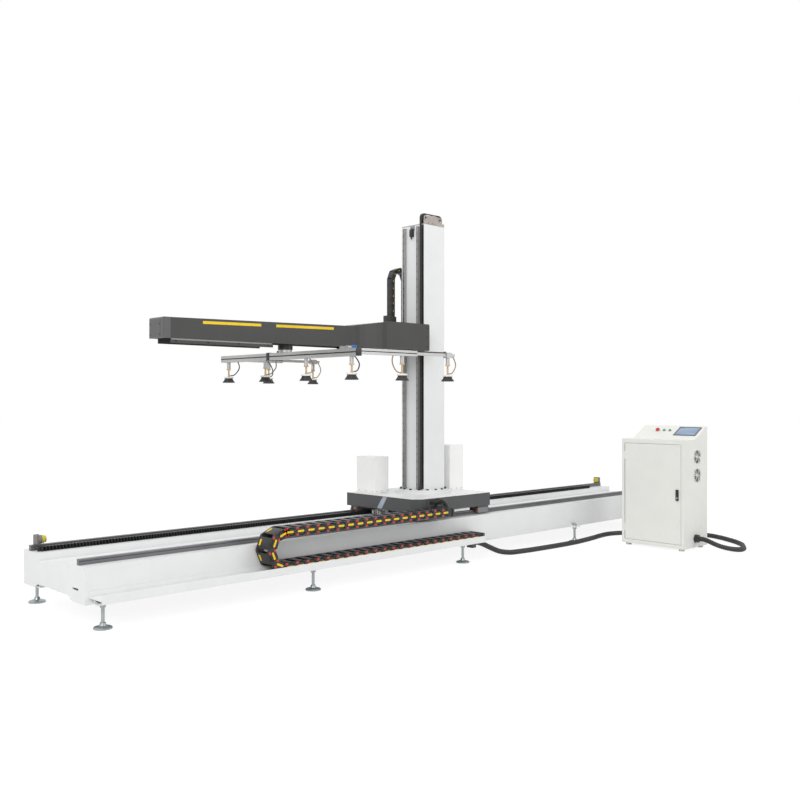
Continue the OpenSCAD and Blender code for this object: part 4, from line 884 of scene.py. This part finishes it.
column_trim.on("column", "dark_steel")


# Carriage strip with a painted highlight, cables with their glands, end seals, bolts and screws

SKIRT_X = 3.0700
SKIRT_Y = -0.4749
GLAND_END_Y = -0.4860
COVER_SCREW_Z = 0.630
COVER_SCREW_R = 0.006
carriage_trim = Piece("carriage_trim")
# A thin pale bluish plate on the skirt's slanted end face: a real bevel whose colour is a painted highlight.
carriage_trim.use(painted_highlight)
slant = [(-0.044, 0.498), (0.020, 0.498), (0.092, 0.606), (0.040, 0.606), (0.010, 0.575)]
left_face = Matrix(((0, 0, -1, SKIRT_X), (-1, 0, 0, 0), (0, 1, 0, 0), (0, 0, 0, 1)))
carriage_trim.prism(slant, 0.0016, left_face, 0.0005)
carriage_trim.use(black_plastic)
cables(carriage_trim, [(3.336, -0.600, 0.512), (3.340, -0.592, 0.548), (3.328, -0.566, 0.586),
                       (3.302, -0.532, 0.602), (3.272, -0.500, 0.598), (3.248, -0.472, 0.580)], 0.0062)
cables(carriage_trim, [(3.336, -0.566, 0.512), (3.340, -0.560, 0.542), (3.346, -0.540, 0.572),
                       (3.360, -0.512, 0.584), (3.380, -0.472, 0.574)], 0.0054)
cables(carriage_trim, [(3.300, -0.590, 0.512), (3.302, -0.582, 0.536), (3.303, -0.561, 0.560),
                       (3.303, -0.532, 0.570), (3.304, -0.500, 0.564), (3.304, -0.472, 0.550)], 0.0054)
for x, z, r in ((3.304, 0.551, 0.018), (3.248, 0.580, 0.022), (3.380, 0.574, 0.020)):
    carriage_trim.rod((x, SKIRT_Y, z), (x, GLAND_END_Y, z), r, 20, 0.002)
carriage_trim.use(seal_rubber)
for x in (3.175, 3.995):
    for y in (-0.400, 0.400):
        for out in BOTH:
            near, far = sorted((x + out * 0.075, x + out * 0.085))
            for edge in BOTH:
                low, high = sorted((y + edge * 0.0215, y + edge * 0.048))
                carriage_trim.box((near, low, 0.426), (far, high, 0.470), 0.002)
carriage_trim.use(white_paint)
top_bolts = [(x, y) for x in (3.140, 4.030) for y in (-0.360, -0.120, 0.120)]
top_bolts += [(x, -0.420) for x in (3.330, 3.480, 3.780, 3.930)]
for x, y in top_bolts:
    bolt(carriage_trim, (x, y, CARRIAGE_TOP), UP, 0.009, 0.008)
carriage_trim.use(bright_steel)
for x in (3.205, 3.274, 3.343):
    screw(carriage_trim, (x, 0.201, COVER_SCREW_Z), FRONT, COVER_SCREW_R)
for y in (0.240, 0.334, 0.430):
    screw(carriage_trim, (3.188, y, COVER_SCREW_Z), LEFT, COVER_SCREW_R)
for x in (3.925, 3.997, 4.070):
    screw(carriage_trim, (x, -0.100, COVER_SCREW_Z), FRONT, COVER_SCREW_R)
for y in (-0.070, 0.030, 0.130):
    screw(carriage_trim, (3.902, y, COVER_SCREW_Z), LEFT, COVER_SCREW_R)
    screw(carriage_trim, (4.092, y, COVER_SCREW_Z), RIGHT, COVER_SCREW_R)
carriage_trim.on("carriage", "dark_paint")


# Cabinet fan guards, gland nut, button collars, screen, hinges and screws

CABINET_X = 5.600
CABINET_REAR_X = 6.070
FAN_X = 5.866
FAN_HEIGHTS = (0.928, 0.742)
GUARD_RINGS = (0.016, 0.029, 0.042, 0.055, 0.067)
GUARD_POINTS = 36
CONSOLE_SLOPE = math.atan(0.132 / 0.242)
BUTTON_X = 0.168
SHEET_SCREW_R = 0.0045

cabinet_trim = Piece("cabinet_trim")
cabinet_trim.use(bright_steel)
for z in FAN_HEIGHTS:
    for r in GUARD_RINGS:
        turn = [2 * math.pi * k / GUARD_POINTS for k in range(GUARD_POINTS)]
        wire = [(FAN_X + r * math.cos(a), CABINET_Y - 0.0040, z + r * math.sin(a)) for a in turn]
        cabinet_trim.tube(wire, 0.0014, 6, loop=True)
    for spoke in range(4):
        angle = math.radians(45 + 90 * spoke)
        tip = (FAN_X + 0.076 * math.cos(angle), CABINET_Y - 0.0022, z + 0.076 * math.sin(angle))
        root = (FAN_X + 0.014 * math.cos(angle), CABINET_Y - 0.0022, z + 0.014 * math.sin(angle))
        cabinet_trim.rod(root, tip, 0.0018, 8)
        screw(cabinet_trim, tip, FRONT, SHEET_SCREW_R)
cabinet_trim.use(black_plastic)
gland = aim((GLAND_X, CABINET_Y, GLAND_Z), FRONT)
cabinet_trim.lathe([(0.0342, 0.0), (0.044, 0.0), (0.044, 0.014), (0.041, 0.016), (0.0342, 0.016),
                    (0.0342, 0.0)], gland, 6)
cabinet_trim.lathe([(0.0342, 0.016), (0.0385, 0.016), (0.0385, 0.034), (0.036, 0.0372), (0.0260, 0.0372),
                    (0.0260, 0.0361), (0.0342, 0.0361), (0.0342, 0.016)], gland, 28)
console = Matrix.Translation((CABINET_X + 0.214, 0.0, 1.100)) @ Matrix.Rotation(-CONSOLE_SLOPE, 4, "Y")
cabinet_trim.use(white_plastic)
cabinet_trim.lathe([(0.0245, 0.0), (0.030, 0.0), (0.030, 0.0015), (0.0245, 0.0015), (0.0245, 0.0)],
                   console @ Matrix.Translation((BUTTON_X, -1.167, 0.0)), 28)
cabinet_trim.use(bright_steel)
for y in (-1.242, -1.307):
    cabinet_trim.lathe([(0.0130, 0.0), (0.0175, 0.0), (0.0175, 0.003), (0.0160, 0.0045), (0.0130, 0.0045),
                        (0.0130, 0.0)], console @ Matrix.Translation((BUTTON_X, y, 0.0)), 24)
cabinet_trim.use(screen_glass)
cabinet_trim.box((0.0905, -1.6175, 0.0041), (0.2295, -1.4015, 0.0052), 0.0004, console)
cabinet_trim.use(cabinet_paint)
hinge_half = Vector((0.0, 0.0, 0.040))
for z in (0.190, 0.930):
    hinge = Vector((CABINET_X + 0.009, -0.9955, z))
    cabinet_trim.rod(hinge - hinge_half, hinge + hinge_half, 0.0086, 14, 0.001)
cabinet_trim.use(bright_steel)
for z in (0.070, 0.560, 1.050):
    screw(cabinet_trim, (6.045, CABINET_Y, z), FRONT, SHEET_SCREW_R)
    screw(cabinet_trim, (CABINET_REAR_X, -1.640, z), RIGHT, SHEET_SCREW_R)
    screw(cabinet_trim, (CABINET_REAR_X, -0.986, z), RIGHT, SHEET_SCREW_R)
cabinet_trim.on("bed", "cabinet_paint")


# Key cylinder and finger plate of the door latch

latch_trim = Piece("latch_trim")
latch_trim.use(bright_steel)
latch_trim.lathe([(0.0, 0.0), (0.0085, 0.0), (0.0085, 0.0008), (0.006, 0.0012), (0.0, 0.0012)],
                 aim((5.5870, -1.594, 0.528), LEFT), 18)
latch_trim.use(black_plastic)
latch_trim.box((5.5862, -1.6030, 0.558), (5.5872, -1.5850, 0.602), 0.0004)
latch_trim.on("latch", "latch_plastic")


# Floor, light and picture settings

def seen_rays(tree):
    """Returns the socket that is 1 for rays from the camera, off gloss and through glass."""
    path = tree.nodes.new("ShaderNodeLightPath")
    total = path.outputs["Is Camera Ray"]
    for other in ("Is Glossy Ray", "Is Transmission Ray"):
        larger = tree.nodes.new("ShaderNodeMath")
        larger.operation = "MAXIMUM"
        tree.links.new(total, larger.inputs[0])
        tree.links.new(path.outputs[other], larger.inputs[1])
        total = larger.outputs["Value"]
    return total


WHITE = (1.0, 1.0, 1.0, 1.0)
FLOOR_GLOW = 1.2
FLOOR_SHARE = 0.73
FLOOR_SIZE = 120.0
FLOOR_Z = -0.0005
SKY_STRENGTH = 0.5

floor_mat, ns, links, shader = new_material("floor")
shader.inputs["Base Color"].default_value = (0.80, 0.80, 0.80, 1.0)
shader.inputs["Roughness"].default_value = 0.95
glow = ns.new("ShaderNodeEmission")
glow.inputs["Color"].default_value = WHITE
glow.inputs["Strength"].default_value = FLOOR_GLOW
seen = ns.new("ShaderNodeMath")
seen.operation = "MULTIPLY"
seen.inputs[1].default_value = FLOOR_SHARE
floor_mix = ns.new("ShaderNodeMixShader")
links.new(seen_rays(floor_mat.node_tree), seen.inputs[0])
links.new(seen.outputs["Value"], floor_mix.inputs["Fac"])
links.new(shader.outputs["BSDF"], floor_mix.inputs[1])
links.new(glow.outputs["Emission"], floor_mix.inputs[2])
links.new(floor_mix.outputs["Shader"], ns["Material Output"].inputs["Surface"])
bpy.ops.mesh.primitive_plane_add(size=FLOOR_SIZE, location=(0.0, 0.0, FLOOR_Z))
floor = bpy.context.object
floor.name = "floor"
floor.data.materials.append(floor_mat)

world = bpy.data.worlds.new("studio")
bpy.context.scene.world = world
world.use_nodes = True
tree = world.node_tree
sky = tree.nodes["Background"]
sky.inputs["Color"].default_value = WHITE
sky.inputs["Strength"].default_value = SKY_STRENGTH
backdrop = tree.nodes.new("ShaderNodeBackground")
backdrop.inputs["Color"].default_value = WHITE
backdrop.inputs["Strength"].default_value = 1.0
mix = tree.nodes.new("ShaderNodeMixShader")
tree.links.new(seen_rays(tree), mix.inputs["Fac"])
tree.links.new(sky.outputs["Background"], mix.inputs[1])
tree.links.new(backdrop.outputs["Background"], mix.inputs[2])
tree.links.new(mix.outputs["Shader"], tree.nodes["World Output"].inputs["Surface"])


def lamp(name, place, target, size, power):
    """Adds a soft square lamp that faces a point."""
    data = bpy.data.lights.new(name, "AREA")
    data.size = size
    data.energy = power
    obj = bpy.data.objects.new(name, data)
    obj.location = place
    obj.rotation_euler = (Vector(target) - Vector(place)).to_track_quat("-Z", "Y").to_euler()
    bpy.context.scene.collection.objects.link(obj)


lamp("key_lamp", (-13.0, -7.5, 9.0), (0.0, 0.0, 1.0), 9.0, 1300.0)
lamp("fill_lamp", (4.0, -9.0, 5.0), (0.5, 0.0, 1.0), 6.0, 190.0)
lamp("top_lamp", (0.0, 1.0, 8.0), (0.0, 0.3, 0.0), 8.0, 220.0)
bpy.context.scene.view_settings.view_transform = "Standard"
